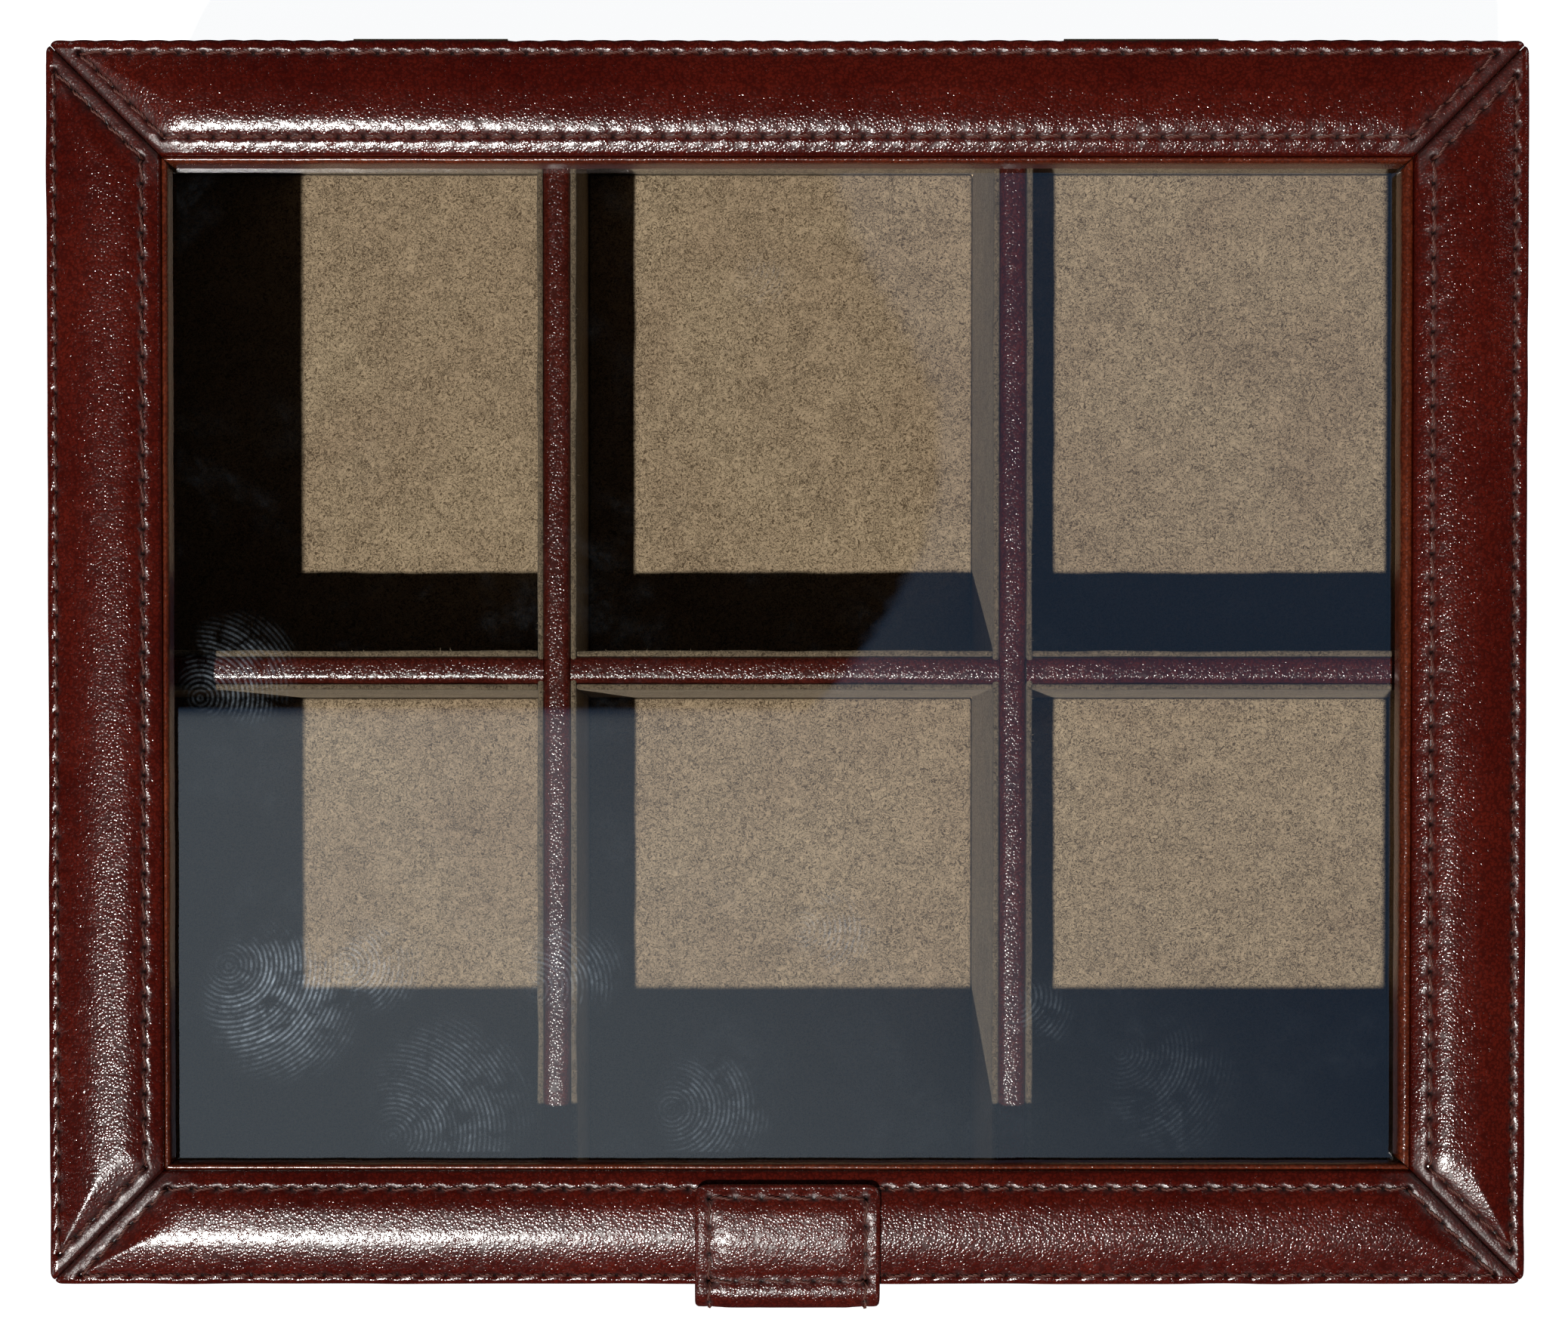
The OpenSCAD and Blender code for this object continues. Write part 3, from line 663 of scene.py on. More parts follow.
def strip_ring():
    """t of every point round a strip's section, and which stretch it belongs to."""
    edge = EDGE_R * (1 - np.cos(arc(EDGE_ROWS, 0, 90)))
    last = FRAME_W - EDGE_IN_R
    top = top_places(EDGE_R, last, (sum(STITCH_OUTER) / 4, FRAME_W - STITCH_INNER))
    inner = FRAME_W - EDGE_IN_R * (1 - np.cos(arc(EDGE_ROWS, 90, 0)))
    inside = FRAME_W - LEATHER_T
    lining = np.linspace(inside, LEATHER_T, 12)
    parts = [("wall", np.zeros(WALL_ROWS)), ("edge", edge), ("top", top), ("edge_in", inner),
             ("drop", np.full(2, FRAME_W)), ("back_drop", np.full(2, inside)), ("under", lining),
             ("back_wall", np.full(3, LEATHER_T))]
    names = sum(([name] * len(t) for name, t in parts), [])
    return np.concatenate([t for _, t in parts]), np.array(names)


RING_T, RING_PART = strip_ring()


def leaf_spans():
    """The stretches along the back that the hinge leaves take, from their CAD points."""
    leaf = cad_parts["lid_hinge_leaves"]
    x = np.array([v.co.x for v in leaf.data.vertices]) / MM
    return [(x[x < 0].min(), x[x < 0].max()), (x[x > 0].min(), x[x > 0].max())]


LEAVES = leaf_spans()
LEAF_T = HALF_D - LEAF_LOW[1]


def over_leaf(side, s):
    """True where a hinge leaf lies in the back rim; s runs from +X to -X there."""
    if side != 2:
        return np.zeros(np.shape(s), bool)
    return np.logical_or.reduce([(-s > low) & (-s < high) for low, high in LEAVES])


LEAF_CUTS = [-x for span in LEAVES for x in span]
# Lower edge of the back strip over a hinge leaf. It lies under LID_Z and so runs into the base's
# leaf, because the box of the leaves also holds their barrels.
LEAF_EDGE_Z = LEAF_LOW[2] + 1.0
WALL_WOBBLE = 0.072
WALL_BELLY = 0.10


def strip_shape(side):
    """The padded strip's section: outer wall, top with its stitches, inner edge and hollow back."""
    def shape(s, t):
        wobble = WALL_WOBBLE * noise(s / 9, t * 0 + 3, 61 + side)
        edge_z = leather_top(side, s, np.maximum(t, EDGE_R)) - EDGE_R
        rows = np.arange(len(RING_T))[None, :]
        z = np.array(leather_top(side, s, t))
        out = np.array(t)
        low = np.where(over_leaf(side, s), LEAF_EDGE_Z, LID_Z)
        wall = rows < WALL_ROWS
        climb = np.clip(rows / WALL_ROWS, 0, 1)
        z = np.where(wall, low + (edge_z - low) * climb, z)
        scallop = BACK_SCALLOP * np.abs(np.sin(math.pi * s / PITCH)) * (side == 2)
        proud = wobble + scallop
        belly = WALL_BELLY * np.sin(math.pi * climb) + proud
        out = np.where(wall, t - belly * (rows > 0), out)
        for part, base, r in (("edge", t, EDGE_R), ("edge_in", FRAME_W - t, EDGE_IN_R)):
            here = (RING_PART == part)[None, :]
            z = np.where(here, z - rounded(base, r), z)
            if part == "edge":
                out = np.where(here, t - proud * (1 - t / EDGE_R), out)
        for part, levels in (("drop", (0.5, 0.0)), ("back_drop", (0.0, 1.0))):
            index = np.flatnonzero(RING_PART == part)
            for i, share in zip(index, levels):
                z[:, i] = LEDGE_Z + share * (EDGE_Z - EDGE_R - LEDGE_Z)
        under = RING_PART == "under"
        z[:, under] = crown(side, s[:, under], t[:, under]) - LEATHER_T
        index = np.flatnonzero(RING_PART == "back_wall")
        low_back = low[:, index[0]]
        for i, share in zip(index, (0.8, 0.4, 0.0)):
            z[:, i] = low_back + share * (LID_TOP - OUTER_DROP - LEATHER_T - low_back)
        return out, z
    return shape


# How much painted shade and dullness the band by each mitre and the mitre seam get.
MITRE_DULL_AND_SHADE = 0.10
SEAM_DULL_AND_SHADE = 0.20


def strip_tone(side):
    """Painted shade in the grooves and holes and along the mitres, which are also dulled there; worn on
    the lobes.
    """
    def tone(s, t):
        dip = leather_top(side, s, t) - crown(side, s, t)
        mitre = (side_spans(side) - t - np.abs(s)) / math.sqrt(2)
        dip = dip - MITRE_DULL_AND_SHADE * smooth(STITCH_MITRE + 3.5, STITCH_MITRE - 0.6, mitre)
        dip = dip - SEAM_DULL_AND_SHADE * np.exp(-((mitre / 0.9) ** 2))
        return np.where((RING_PART == "top")[None, :], np.clip(dip * 1.2, -1, 0.4), 0)
    return tone


STRIP_STEP = 0.27


def padded_strip(side):
    cuts = LEAF_CUTS if side == 2 else ()
    piece = side_mesh("padded_strip_" + SIDES[side], side, RING_T, strip_shape(side), LEATHER,
                      STRIP_STEP, cuts, strip_tone(side))
    crisp(piece, 55)
    finish_piece(piece, "lid", "leather", f"lid_{SIDES[side]}_strip")
    return piece


for side_index in range(4):
    padded_strip(side_index)

# ---- Foam under the strips ----

FOAM_GAP = 0.3
FOAM_INNER = FRAME_W - LEATHER_T - FOAM_GAP
FOAM_OUTER = LEATHER_T + FOAM_GAP
FOAM_LOW = LEDGE_Z + 0.02


def foam_ring():
    top = np.linspace(FOAM_OUTER, FOAM_INNER, 14)
    return np.concatenate([top, [FOAM_INNER, FOAM_OUTER]]), len(top)


def foam_bar(side):
    ring_t, count = foam_ring()

    def shape(s, t):
        z = crown(side, s, t) - LEATHER_T - 0.15
        z[:, count:] = FOAM_LOW
        return t, np.maximum(z, FOAM_LOW)

    piece = side_mesh("foam_" + SIDES[side], side, ring_t, shape, FOAM, 3.0)
    finish_piece(piece, "lid", "foam", "lid_padding")


for side_index in range(4):
    foam_bar(side_index)

# ---- Stitches: two ply thread, each stitch slanted from hole to hole ----

STITCH_STEPS = 19
PLY_SIDES = 6
PLY_OFFSET = 0.13
TWISTS = 2.2
SLANT = 0.33
DIVE = 0.75
LIFT = 0.44
HOLE_GAP = 0.12
THREAD_SINK = 0.12


def thread_row(row, surface, place, seed):
    """Points and faces of a row of stitches. surface(a, b) is the height of the leather and
    place(a, b, z) gives world points."""
    rng = np.random.default_rng(seed)
    w = np.linspace(0, 1, STITCH_STEPS)
    turn = np.linspace(0, 2 * math.pi, PLY_SIDES, endpoint=False)
    points, faces = [], []
    for k in range(row.count):
        skew, size, rise = rng.normal(0, 0.05), rng.uniform(0.92, 1.08), rng.normal(0, 0.04)
        start, stop = k * row.pitch + HOLE_GAP, (k + 1) * row.pitch - HOLE_GAP
        u = start + (stop - start) * w
        d = (SLANT + skew) * (2 * w - 1) * smooth(0, 0.25, w) * smooth(0, 0.25, 1 - w)
        a = row.start[0] + row.along[0] * u + row.across[0] * d
        b = row.start[1] + row.along[1] * u + row.across[1] * d
        arch = np.sin(math.pi * w) ** 0.55
        z = surface(a, b) + (LIFT + rise) * arch - DIVE * (1 - arch) ** 1.5 - THREAD_SINK
        for ply in range(2):
            phase = 2 * math.pi * TWISTS * w + math.pi * ply + rng.uniform(-0.2, 0.2)
            side_d, side_z = PLY_OFFSET * np.cos(phase), PLY_OFFSET * np.sin(phase)
            r = THREAD_R * size
            ring_d = side_d[:, None] + r * np.cos(turn)[None, :]
            ring_z = side_z[:, None] + r * np.sin(turn)[None, :]
            pa = a[:, None] + row.across[0] * ring_d
            pb = b[:, None] + row.across[1] * ring_d
            first = len(points) * STITCH_STEPS * PLY_SIDES
            points.append(place(pa, pb, z[:, None] + ring_z).reshape(-1, 3))
            faces += tube_faces(STITCH_STEPS, PLY_SIDES, first)
    return points, faces


def stitch_piece(name, runs):
    """One object of several rows; runs holds the arguments of thread_row."""
    points, faces = [], []
    for run in runs:
        row_points, row_faces = thread_row(*run)
        first = len(points) * STITCH_STEPS * PLY_SIDES
        points += row_points
        faces += [[i + first for i in face] for face in row_faces]
    return outward(make_mesh(name, np.concatenate(points), faces, THREAD))


for side_index in range(4):
    def surface_here(a, b, side=side_index):
        z = crown(side, a, b)
        for row in ROWS[side]:
            z = z - GROOVE_DEEP * np.exp(-((row.near(a, b)[2] / GROOVE_R) ** 2))
        return z

    def place_here(a, b, z, side=side_index):
        return on_side(side, a, b, z)

    runs = [(row, surface_here, place_here, 500 + 10 * side_index + i)
            for i, row in enumerate(ROWS[side_index])]
    finish_piece(stitch_piece("stitches_" + SIDES[side_index], runs), "lid", "thread",
                 "lid_stitching")

# ---- Window lip ----

LIP_RING = [(0.0, 0.0), (0.0, 0.60), (0.03, 0.86), (0.10, 0.955), (0.22, 0.985), (0.36, 1.0),
            (0.50, 1.0), (0.64, 0.985), (0.78, 0.95), (0.90, 0.87), (0.97, 0.74), (1.0, 0.55),
            (1.0, 0.0)]
# The photo shows more of the right lip than the CAD width allows.
LIP_EXTRA = (0.0, 0.8, 0.0, 0.0)


def window_lip(side):
    """The low leather edge between a strip and the glass."""
    share_t, share_z = np.array(LIP_RING).T
    ring_t = FRAME_W + (LIP_W + LIP_EXTRA[side]) * share_t

    def shape(s, t):
        wave = 0.05 * noise(s / 9, t * 0, 71 + side) + 0.02 * noise(s / 1.6, t, 75 + side)
        z = LIP_LOW + (LIP_HIGH - LIP_LOW) * share_z[None, :] + wave * (share_z[None, :] > 0.5)
        return t + 0.05 * noise(s / 5, t * 0 + 9, 79 + side) * share_t[None, :], z

    piece = side_mesh("lip_" + SIDES[side], side, ring_t, shape, LIP_LEATHER, 0.8)
    crisp(piece, 60)
    finish_piece(piece, "lid", "leather", f"window_{SIDES[side]}_lip")


for side_index in range(4):
    window_lip(side_index)

# ---- Suede covered lining under the lid ----

CARD_TOP = LID_Z + BASE_TURN
LINING_IN = HALF_W - box_mm("lid_right_lining")[0][0]
BEAD_W = LINING_IN - (HALF_W - box_mm("window_glass")[1][0])
# Painted shade on the lining's inner edge on each side: -1 is dark, 0 none.
LINING_SHADE = (-1.0, -1.0, 0.0, -1.0)
LINING_R = 0.35


def lid_lining(side):
    """The suede covered card under one side of the lid, with the bead that holds the glass."""
    inner, outer, r = LINING_IN, LEATHER_T, LINING_R
    bead = inner - BEAD_W
    section = [(outer, LID_Z + 0.02), (inner - r, LID_Z + 0.02), (inner - 0.3 * r, LID_Z + 0.3 * r),
               (inner, LID_Z + r), (inner, LINING_TOP), (bead, LINING_TOP), (bead, CARD_TOP),
               (outer, CARD_TOP)]
    ring_t, ring_z = [], []
    for (t0, z0), (t1, z1) in zip(section, section[1:] + section[:1]):
        steps = max(1, int(math.hypot(t1 - t0, z1 - z0) / 1.6))
        for k in range(steps):
            ring_t.append(t0 + (t1 - t0) * k / steps)
            ring_z.append(z0 + (z1 - z0) * k / steps)
    ring_t, ring_z = np.array(ring_t), np.array(ring_z)

    def shape(s, t):
        z = np.broadcast_to(ring_z, s.shape).copy()
        under = z < LID_Z + 0.1
        z = np.where(under, z + 0.10 + 0.08 * noise(s / 12, t / 9, 85 + side), z)
        notch = over_leaf(side, s) & (t < LEAF_T + 0.1) & under
        return t, np.where(notch, CARD_TOP - 0.02, z)

    cuts = LEAF_CUTS if side == 2 else ()
    # Painted shade: the lining darkens towards its inner edge.
    shade = LINING_SHADE[side]
    piece = side_mesh("lid_suede_" + SIDES[side], side, ring_t, shape, SUEDE, 2.0, cuts,
                      lambda s, t: shade * smooth(outer + 2, inner, t) + 0 * s)
    crisp(piece, 50)
    finish_piece(piece, "lid", "suede", f"lid_{SIDES[side]}_lining")


for side_index in range(4):
    lid_lining(side_index)

# ---- Leather round the base ----

HEM_R = 0.9


def case_leather(side):
    """Outer leather of one side: a C section turned over the rim and in under the bottom."""
    r = HEM_R
    up = RIM_Z - r
    outer_wall = np.linspace(HEM_Z + r, up, 24)
    turn = arc(5, 0, 90)
    section = [(HEM_W, HEM_Z), (r, HEM_Z)]
    section += [(r * (1 - math.sin(a)), HEM_Z + r * (1 - math.cos(a))) for a in turn[1:]]
    section += [(0.0, z) for z in outer_wall[1:-1]]
    section += [(r * (1 - math.cos(a)), up + r * math.sin(a)) for a in turn]
    section += [(t, RIM_Z) for t in np.linspace(r, WALL_T - 0.5, 8)[1:]]
    section += [(WALL_T - 0.12, RIM_Z - 0.15), (WALL_T, RIM_Z - 0.5), (WALL_T, BOARD_TOP),
                (LEATHER_T, BOARD_TOP), (LEATHER_T, FELT_TOP), (HEM_W, FELT_TOP)]
    ring_t, ring_z = np.array(section).T

    def shape(s, t):
        z = np.broadcast_to(ring_z, s.shape).copy()
        wall = (t < 0.01) & (z > 2) & (z < up - 1)
        wave = 0.10 * noise(s / 16, z / 11, 41 + side) + 0.05 * noise(s / 4, z / 3, 45 + side)
        top = z > RIM_Z - 0.01
        z = np.where(top, z - 0.02 - 0.05 * np.abs(noise(s / 8, t / 3, 49 + side)), z)
        notch = over_leaf(side, s) & (z > BOARD_TOP) & (t < LEAF_T + 0.1)
        z = np.where(notch, np.minimum(z, BOARD_TOP + 0.02), z)
        return np.where(wall, t + 0.10 + wave, t), z

    cuts = LEAF_CUTS if side == 2 else ()
    piece = side_mesh("case_leather_" + SIDES[side], side, ring_t, shape, LEATHER, 1.6, cuts)
    crisp(piece, 50)
    finish_piece(piece, "base", "leather", SIDES[side] + "_leather")


for side_index in range(4):
    case_leather(side_index)

# ---- Soft slabs: floor pads, wall linings and divider panels ----


def axis_steps(low, high, r, spacing):
    """Places along one edge of a slab: close together where the edges are rounded."""
    r = min(r, (high - low) / 2.01)
    ends = r * (1 - np.cos(arc(4, 0, 90)))
    middle = np.linspace(low + r, high - r, max(2, int((high - low - 2 * r) / spacing) + 1))
    return np.unique(np.concatenate([low + ends, middle, high - ends]))


def slab(low, high, r, spacing):
    """Points and faces of a closed slab whose edges and corners are rounded by r."""
    steps = [axis_steps(low[k], high[k], r, spacing[k]) for k in range(3)]
    index, points, faces = {}, [], []

    def vertex(i, j, k):
        key = (i, j, k)
        if key not in index:
            index[key] = len(points)
            points.append((steps[0][i], steps[1][j], steps[2][k]))
        return index[key]

    size = [len(s) for s in steps]
    for axis in range(3):
        a, b = (axis + 1) % 3, (axis + 2) % 3
        for end in (0, size[axis] - 1):
            for i in range(size[a] - 1):
                for j in range(size[b] - 1):
                    corners = []
                    for p, q in ((i, j), (i + 1, j), (i + 1, j + 1), (i, j + 1)):
                        place = [0, 0, 0]
                        place[axis], place[a], place[b] = end, p, q
                        corners.append(vertex(*place))
                    faces.append(corners if end else corners[::-1])
    points = np.array(points)
    inset = np.minimum(r, (np.array(high) - np.array(low)) / 2.01)
    core = np.clip(points, np.array(low) + inset, np.array(high) - inset)
    off = (points - core) / inset
    long = np.maximum(np.linalg.norm(off, axis=1, keepdims=True), 1e-9)
    return core + off / np.maximum(long, 1) * inset, faces


def join(parts):
    """Several (points, faces) as one."""
    points, faces, first = [], [], 0
    for part_points, part_faces in parts:
        points.append(part_points)
        faces += [[i + first for i in face] for face in part_faces]
        first += len(part_points)
    return np.concatenate(points), faces


_, INNER_Y, FLOOR_Z = box_mm("floor_pads")[1]
PAD_LOW = box_mm("floor_pads")[0][2]
LONG = {name: (box_mm(name + "_suede"), box_mm(name + "_leather"))
        for name in ("left_divider", "right_divider")}
CROSS = {name: (box_mm(name + "_suede"), box_mm(name + "_leather"))
         for name in ("cross_divider_left", "cross_divider_middle", "cross_divider_right")}


def floor_pads():
    """Six suede pads, a little higher in the middle than at their edges."""
    parts = []
    for n, ((low, high), _) in enumerate(CROSS.values()):
        for y0, y1 in ((-INNER_Y, low[1]), (high[1], INNER_Y)):
            points, faces = slab((low[0] + 0.1, y0 + 0.1, PAD_LOW), (high[0] - 0.1, y1 - 0.1, FLOOR_Z),
                                 0.5, (2.0, 2.0, 1.0))
            x, y = points[:, 0], points[:, 1]
            edge = np.minimum(np.minimum(x - low[0], high[0] - x), np.minimum(y - y0, y1 - y))
            puff = 0.16 * smooth(0, 8, edge) + 0.05 * noise(x / 9 + n, y / 9, 21) * smooth(0, 4, edge)
            points[:, 2] += puff * (points[:, 2] > FLOOR_Z - 0.1)
            parts.append((points, faces))
    points, faces = join(parts)
    piece = crisp(outward(make_mesh("suede_floor", points, faces, SUEDE)), 60)
    finish_piece(piece, "base", "suede", "floor_pads")


floor_pads()


def wall_lining(side):
    """Suede covered board on the inside of one wall."""
    node = SIDES[side] + "_lining"
    low, high = box_mm(node)
    points, faces = slab(low + 0.02, high - 0.02, 0.4, (2.5, 2.5, 2.5))
    axis = 1 if side % 2 == 0 else 0
    inward = -1 if side in (1, 2) else 1
    face_at = (high if inward > 0 else low)[axis]
    other = points[:, 1 - axis]
    on_face = np.abs(points[:, axis] - face_at) < 0.1
    swell = 0.05 * noise(other / 14, points[:, 2] / 12, 95 + side)
    points[:, axis] += inward * on_face * (swell - 0.04)
    piece = crisp(outward(make_mesh("suede_wall_" + SIDES[side], points, faces, SUEDE)), 60)
    finish_piece(piece, "base", "suede", node)


for side_index in range(4):
    wall_lining(side_index)


# ---- Dividers: a leather cap between two suede panels ----

FUZZ_PER_MM = 7
FUZZ_W = 0.035
CAP_R = 1.25


def turned(points, along_y):
    """Swaps X and Y for a divider that runs from front to back."""
    return points[:, [1, 0, 2]] if along_y else points


def fuzz(start, end, y, z, seed):
    """Short suede fibres standing up from a cut edge that runs along X."""
    rng = np.random.default_rng(seed)
    count = int((end - start) * FUZZ_PER_MM)
    x = rng.uniform(start, end, count)
    foot = np.stack([x, y + rng.normal(0, 0.16, count), np.full(count, z - 0.12)], axis=1)
    lean = rng.normal(0, [0.22, 0.30, 0.06], (count, 3)) + [0, 0, 0.34]
    size = rng.uniform(0.45, 1.15, (count, 1))
    angle = rng.uniform(0, math.pi, count)
    wide = np.stack([np.cos(angle), np.sin(angle), np.zeros(count)], axis=1) * FUZZ_W
    points = np.stack([foot - wide, foot + wide, foot + lean * size], axis=1).reshape(-1, 3)
    faces = np.arange(3 * count).reshape(-1, 3).tolist()
    return points, faces


def suede_panels(name, boxes, along_y, seed):
    """Both suede panels of a divider, their upper edges rounded, uneven and fuzzy."""
    (low, high), (cap_low, cap_high) = boxes
    if along_y:
        low, high, cap_low, cap_high = (v[[1, 0, 2]] for v in (low, high, cap_low, cap_high))
    parts, tones = [], []
    for sign, inner, outer in ((-1, cap_low[1], low[1]), (1, cap_high[1], high[1])):
        y0, y1 = sorted((inner, outer))
        points, faces = slab((low[0] + 0.02, y0, low[2]), (high[0] - 0.02, y1, high[2]), 0.42,
                             (0.8, 0.5, 2.0))
        top = smooth(high[2] - 5, high[2], points[:, 2])
        wander = 0.16 * noise(points[:, 0] / 7, points[:, 2] / 9, seed) * top
        points[:, 1] += sign * (0.10 * top + wander) * (np.abs(points[:, 1] - inner) > 0.3)
        points[:, 2] += top * 0.14 * noise(points[:, 0] / 2.6, points[:, 1], seed + 1)
        parts.append((points, faces))
        tones.append(smooth(high[2] - 0.9, high[2] - 0.3, points[:, 2]) * -0.62)
        fibres = fuzz(low[0] + 0.5, high[0] - 0.5, (y0 + y1) / 2 + sign * 0.1, high[2], seed + 5 + sign)
        parts.append(fibres)
        tones.append(np.full(len(fibres[0]), 0.25))
    points, faces = join(parts)
    piece = make_mesh("suede_" + name, turned(points, along_y), faces, SUEDE, np.concatenate(tones))
    finish_piece(crisp(piece, 60), "base", "suede", name + "_suede")


def leather_cap(name, boxes, along_y, seed, reach=0.0):
    """The leather wrapped over a divider's board, down to the floor on both sides."""
    low, high = boxes[1]
    if along_y:
        low, high = low[[1, 0, 2]], high[[1, 0, 2]]
    half, wrap = (high[1] - low[1]) / 2, 0.8
    mid = (high[1] + low[1]) / 2
    turn = arc(6, 0, 90)
    side = [(half, z) for z in np.linspace(low[2], high[2] - CAP_R, 12)[:-1]]
    side += [(half - CAP_R * (1 - math.cos(a)), high[2] - CAP_R * (1 - math.sin(a))) for a in turn]
    top = [(y, high[2]) for y in np.linspace(half - CAP_R, 0, 4)[1:]]
    outer = side + top
    outer += [(-y, z) for y, z in outer[-2::-1]]
    inner = [(-half + wrap, low[2]), (-half + wrap, high[2] - wrap - 0.02),
             (half - wrap, high[2] - wrap - 0.02), (half - wrap, low[2])]
    ring = np.array(outer + inner)
    x = np.linspace(low[0] - reach, high[0] + reach, int((high[0] - low[0]) / 0.7))[:, None]
    y, z = ring[None, :, 0] + 0 * x, ring[None, :, 1] + 0 * x
    skin = (np.arange(len(ring)) < len(outer))[None, :]
    near_top = smooth(high[2] - 4, high[2] - 1, z) * skin
    bow = 0.10 * noise(x / 15, 0 * x, seed) + 0.05 * noise(x / 4, 0 * x + 7, seed + 1)
    y = y + near_top * bow + near_top * 0.02 * noise(x / 1.8, y / 1.2, seed + 2)
    crest = skin * np.exp(-((y / half) ** 2) * 1.5) * (z > high[2] - 0.4)
    z = z + crest * (0.16 + 0.015 * noise(x / 2.2, y / 1.4, seed + 3))
    points = np.stack([x + 0 * y, mid + y, z], axis=-1).reshape(-1, 3)
    groove = np.where(skin, 0.06 * noise(x / 1.1, y, seed + 4), 0)
    piece = make_mesh("leather_" + name, turned(points, along_y), tube_faces(*y.shape),
                      DIVIDER_LEATHER, groove)
    finish_piece(crisp(outward(piece), 60), "base", "leather", name + "_leather")


for number, (name, boxes) in enumerate(LONG.items()):
    suede_panels(name, boxes, True, 700 + 20 * number)
    leather_cap(name, boxes, True, 710 + 20 * number)
PANEL_T = LONG["left_divider"][0][1][0] - LONG["left_divider"][1][1][0]
for number, (name, boxes) in enumerate(CROSS.items()):
    suede_panels(name, boxes, False, 800 + 20 * number)
    leather_cap(name, boxes, False, 810 + 20 * number, PANEL_T)

# ---- Latch tab: one strap over the front edge, bending between lid and flap ----

TAB_W = TAB_HIGH[0] - TAB_LOW[0]
TAB_REACH = HALF_D + TAB_HIGH[1]
TAB_TOP_T = 1.75
TAB_DIP = 1.75
FLAP_OUT = -HALF_D - FLAP_LOW[1]
FLAP_IN = -HALF_D - FLAP_HIGH[1] + 0.07
FOLD_R = 3.6
TAB_EDGE_R = 0.75
FLAP_CORNER_R = 5.0
TAB_STEP = 0.3
TAB_STITCH = 2.4
FLAP_END = FLAP_LOW[2]


def tab_line():
    """The strap's outer surface along its length, as t, z, its outward direction and thickness."""
    t_top = np.arange(TAB_REACH, 1.2, -TAB_STEP)
    z_top = crown(0, t_top * 0, t_top) + TAB_TOP_T
    z_top = np.maximum(z_top, LID_TOP - TAB_DIP + TAB_TOP_T)
    fold_t = -FLAP_OUT + FOLD_R
    fold_z = z_top[-1] - FOLD_R
    turn = arc(14, 0, 90)
    t_fold, z_fold = fold_t - FOLD_R * np.sin(turn), fold_z + FOLD_R * np.cos(turn)
    z_hang = np.arange(fold_z - TAB_STEP, FLAP_END, -TAB_STEP)
    t = np.concatenate([t_top, t_fold, np.full(len(z_hang), -FLAP_OUT)])
    z = np.concatenate([z_top, z_fold, z_hang])
    dt, dz = np.gradient(t), np.gradient(z)
    length = np.hypot(dt, dz)
    u = np.concatenate([[0], np.cumsum(np.hypot(np.diff(t), np.diff(z)))])
    hang = 1 - smooth(fold_z - 3, fold_z + 2.5, z)
    thick = TAB_TOP_T * (1 - hang) + (FLAP_OUT - FLAP_IN) * hang
    return t, z, dz / length, -dt / length, u, thick


TAB_T, TAB_Z, TAB_NT, TAB_NZ, TAB_U, TAB_THICK = tab_line()
TAB_END = TAB_U[-1]
FOLD_U = float(np.interp(-1.0, -TAB_T[: len(TAB_T) // 2], TAB_U[: len(TAB_U) // 2]))
ROW_X = TAB_W / 2 - TAB_STITCH
LOW_U = TAB_END - TAB_STITCH
LOW_X = ROW_X - 2.0
TAB_ROWS = [Row((-ROW_X, TAB_STITCH), (ROW_X, TAB_STITCH)), Row((ROW_X, TAB_STITCH), (ROW_X, FOLD_U)),
            Row((ROW_X, FOLD_U), (-ROW_X, FOLD_U)), Row((-ROW_X, FOLD_U), (-ROW_X, TAB_STITCH)),
            Row((ROW_X, FOLD_U), (ROW_X, LOW_U - 2)), Row((-ROW_X, LOW_U - 2), (-ROW_X, FOLD_U)),
            Row((ROW_X, LOW_U - 2), (LOW_X, LOW_U)), Row((LOW_X, LOW_U), (-LOW_X, LOW_U)),
            Row((-LOW_X, LOW_U), (-ROW_X, LOW_U - 2))]


def tab_relief(x, u):
    """How far the strap's surface stands off its line: pillows between the stitches."""
    lift = np.zeros(np.broadcast(x, u).shape)
    for i, row in enumerate(TAB_ROWS):
        lift = lift + row.sink(x, u, 900 + 10 * i) * 0.9
    side = smooth(0, 3.5, ROW_X - np.abs(x))
    first = smooth(0, 3, u - TAB_STITCH) * smooth(0, 3, FOLD_U - u)
    second = smooth(0, 3, u - FOLD_U) * smooth(0, 3, LOW_U - u)
    lift += 0.30 * side * (first + 0.7 * second)
    return lift + 0.015 * noise(x / 2.4, u / 1.7, 950)


def tab_points(x, u, lift):
    """World points of the strap's surface at x across and u along, lifted off its line."""
    t, z = np.interp(u, TAB_U, TAB_T), np.interp(u, TAB_U, TAB_Z)
    nt, nz = np.interp(u, TAB_U, TAB_NT), np.interp(u, TAB_U, TAB_NZ)
    return np.stack(np.broadcast_arrays(x, -HALF_D + t + nt * lift, z + nz * lift), axis=-1)


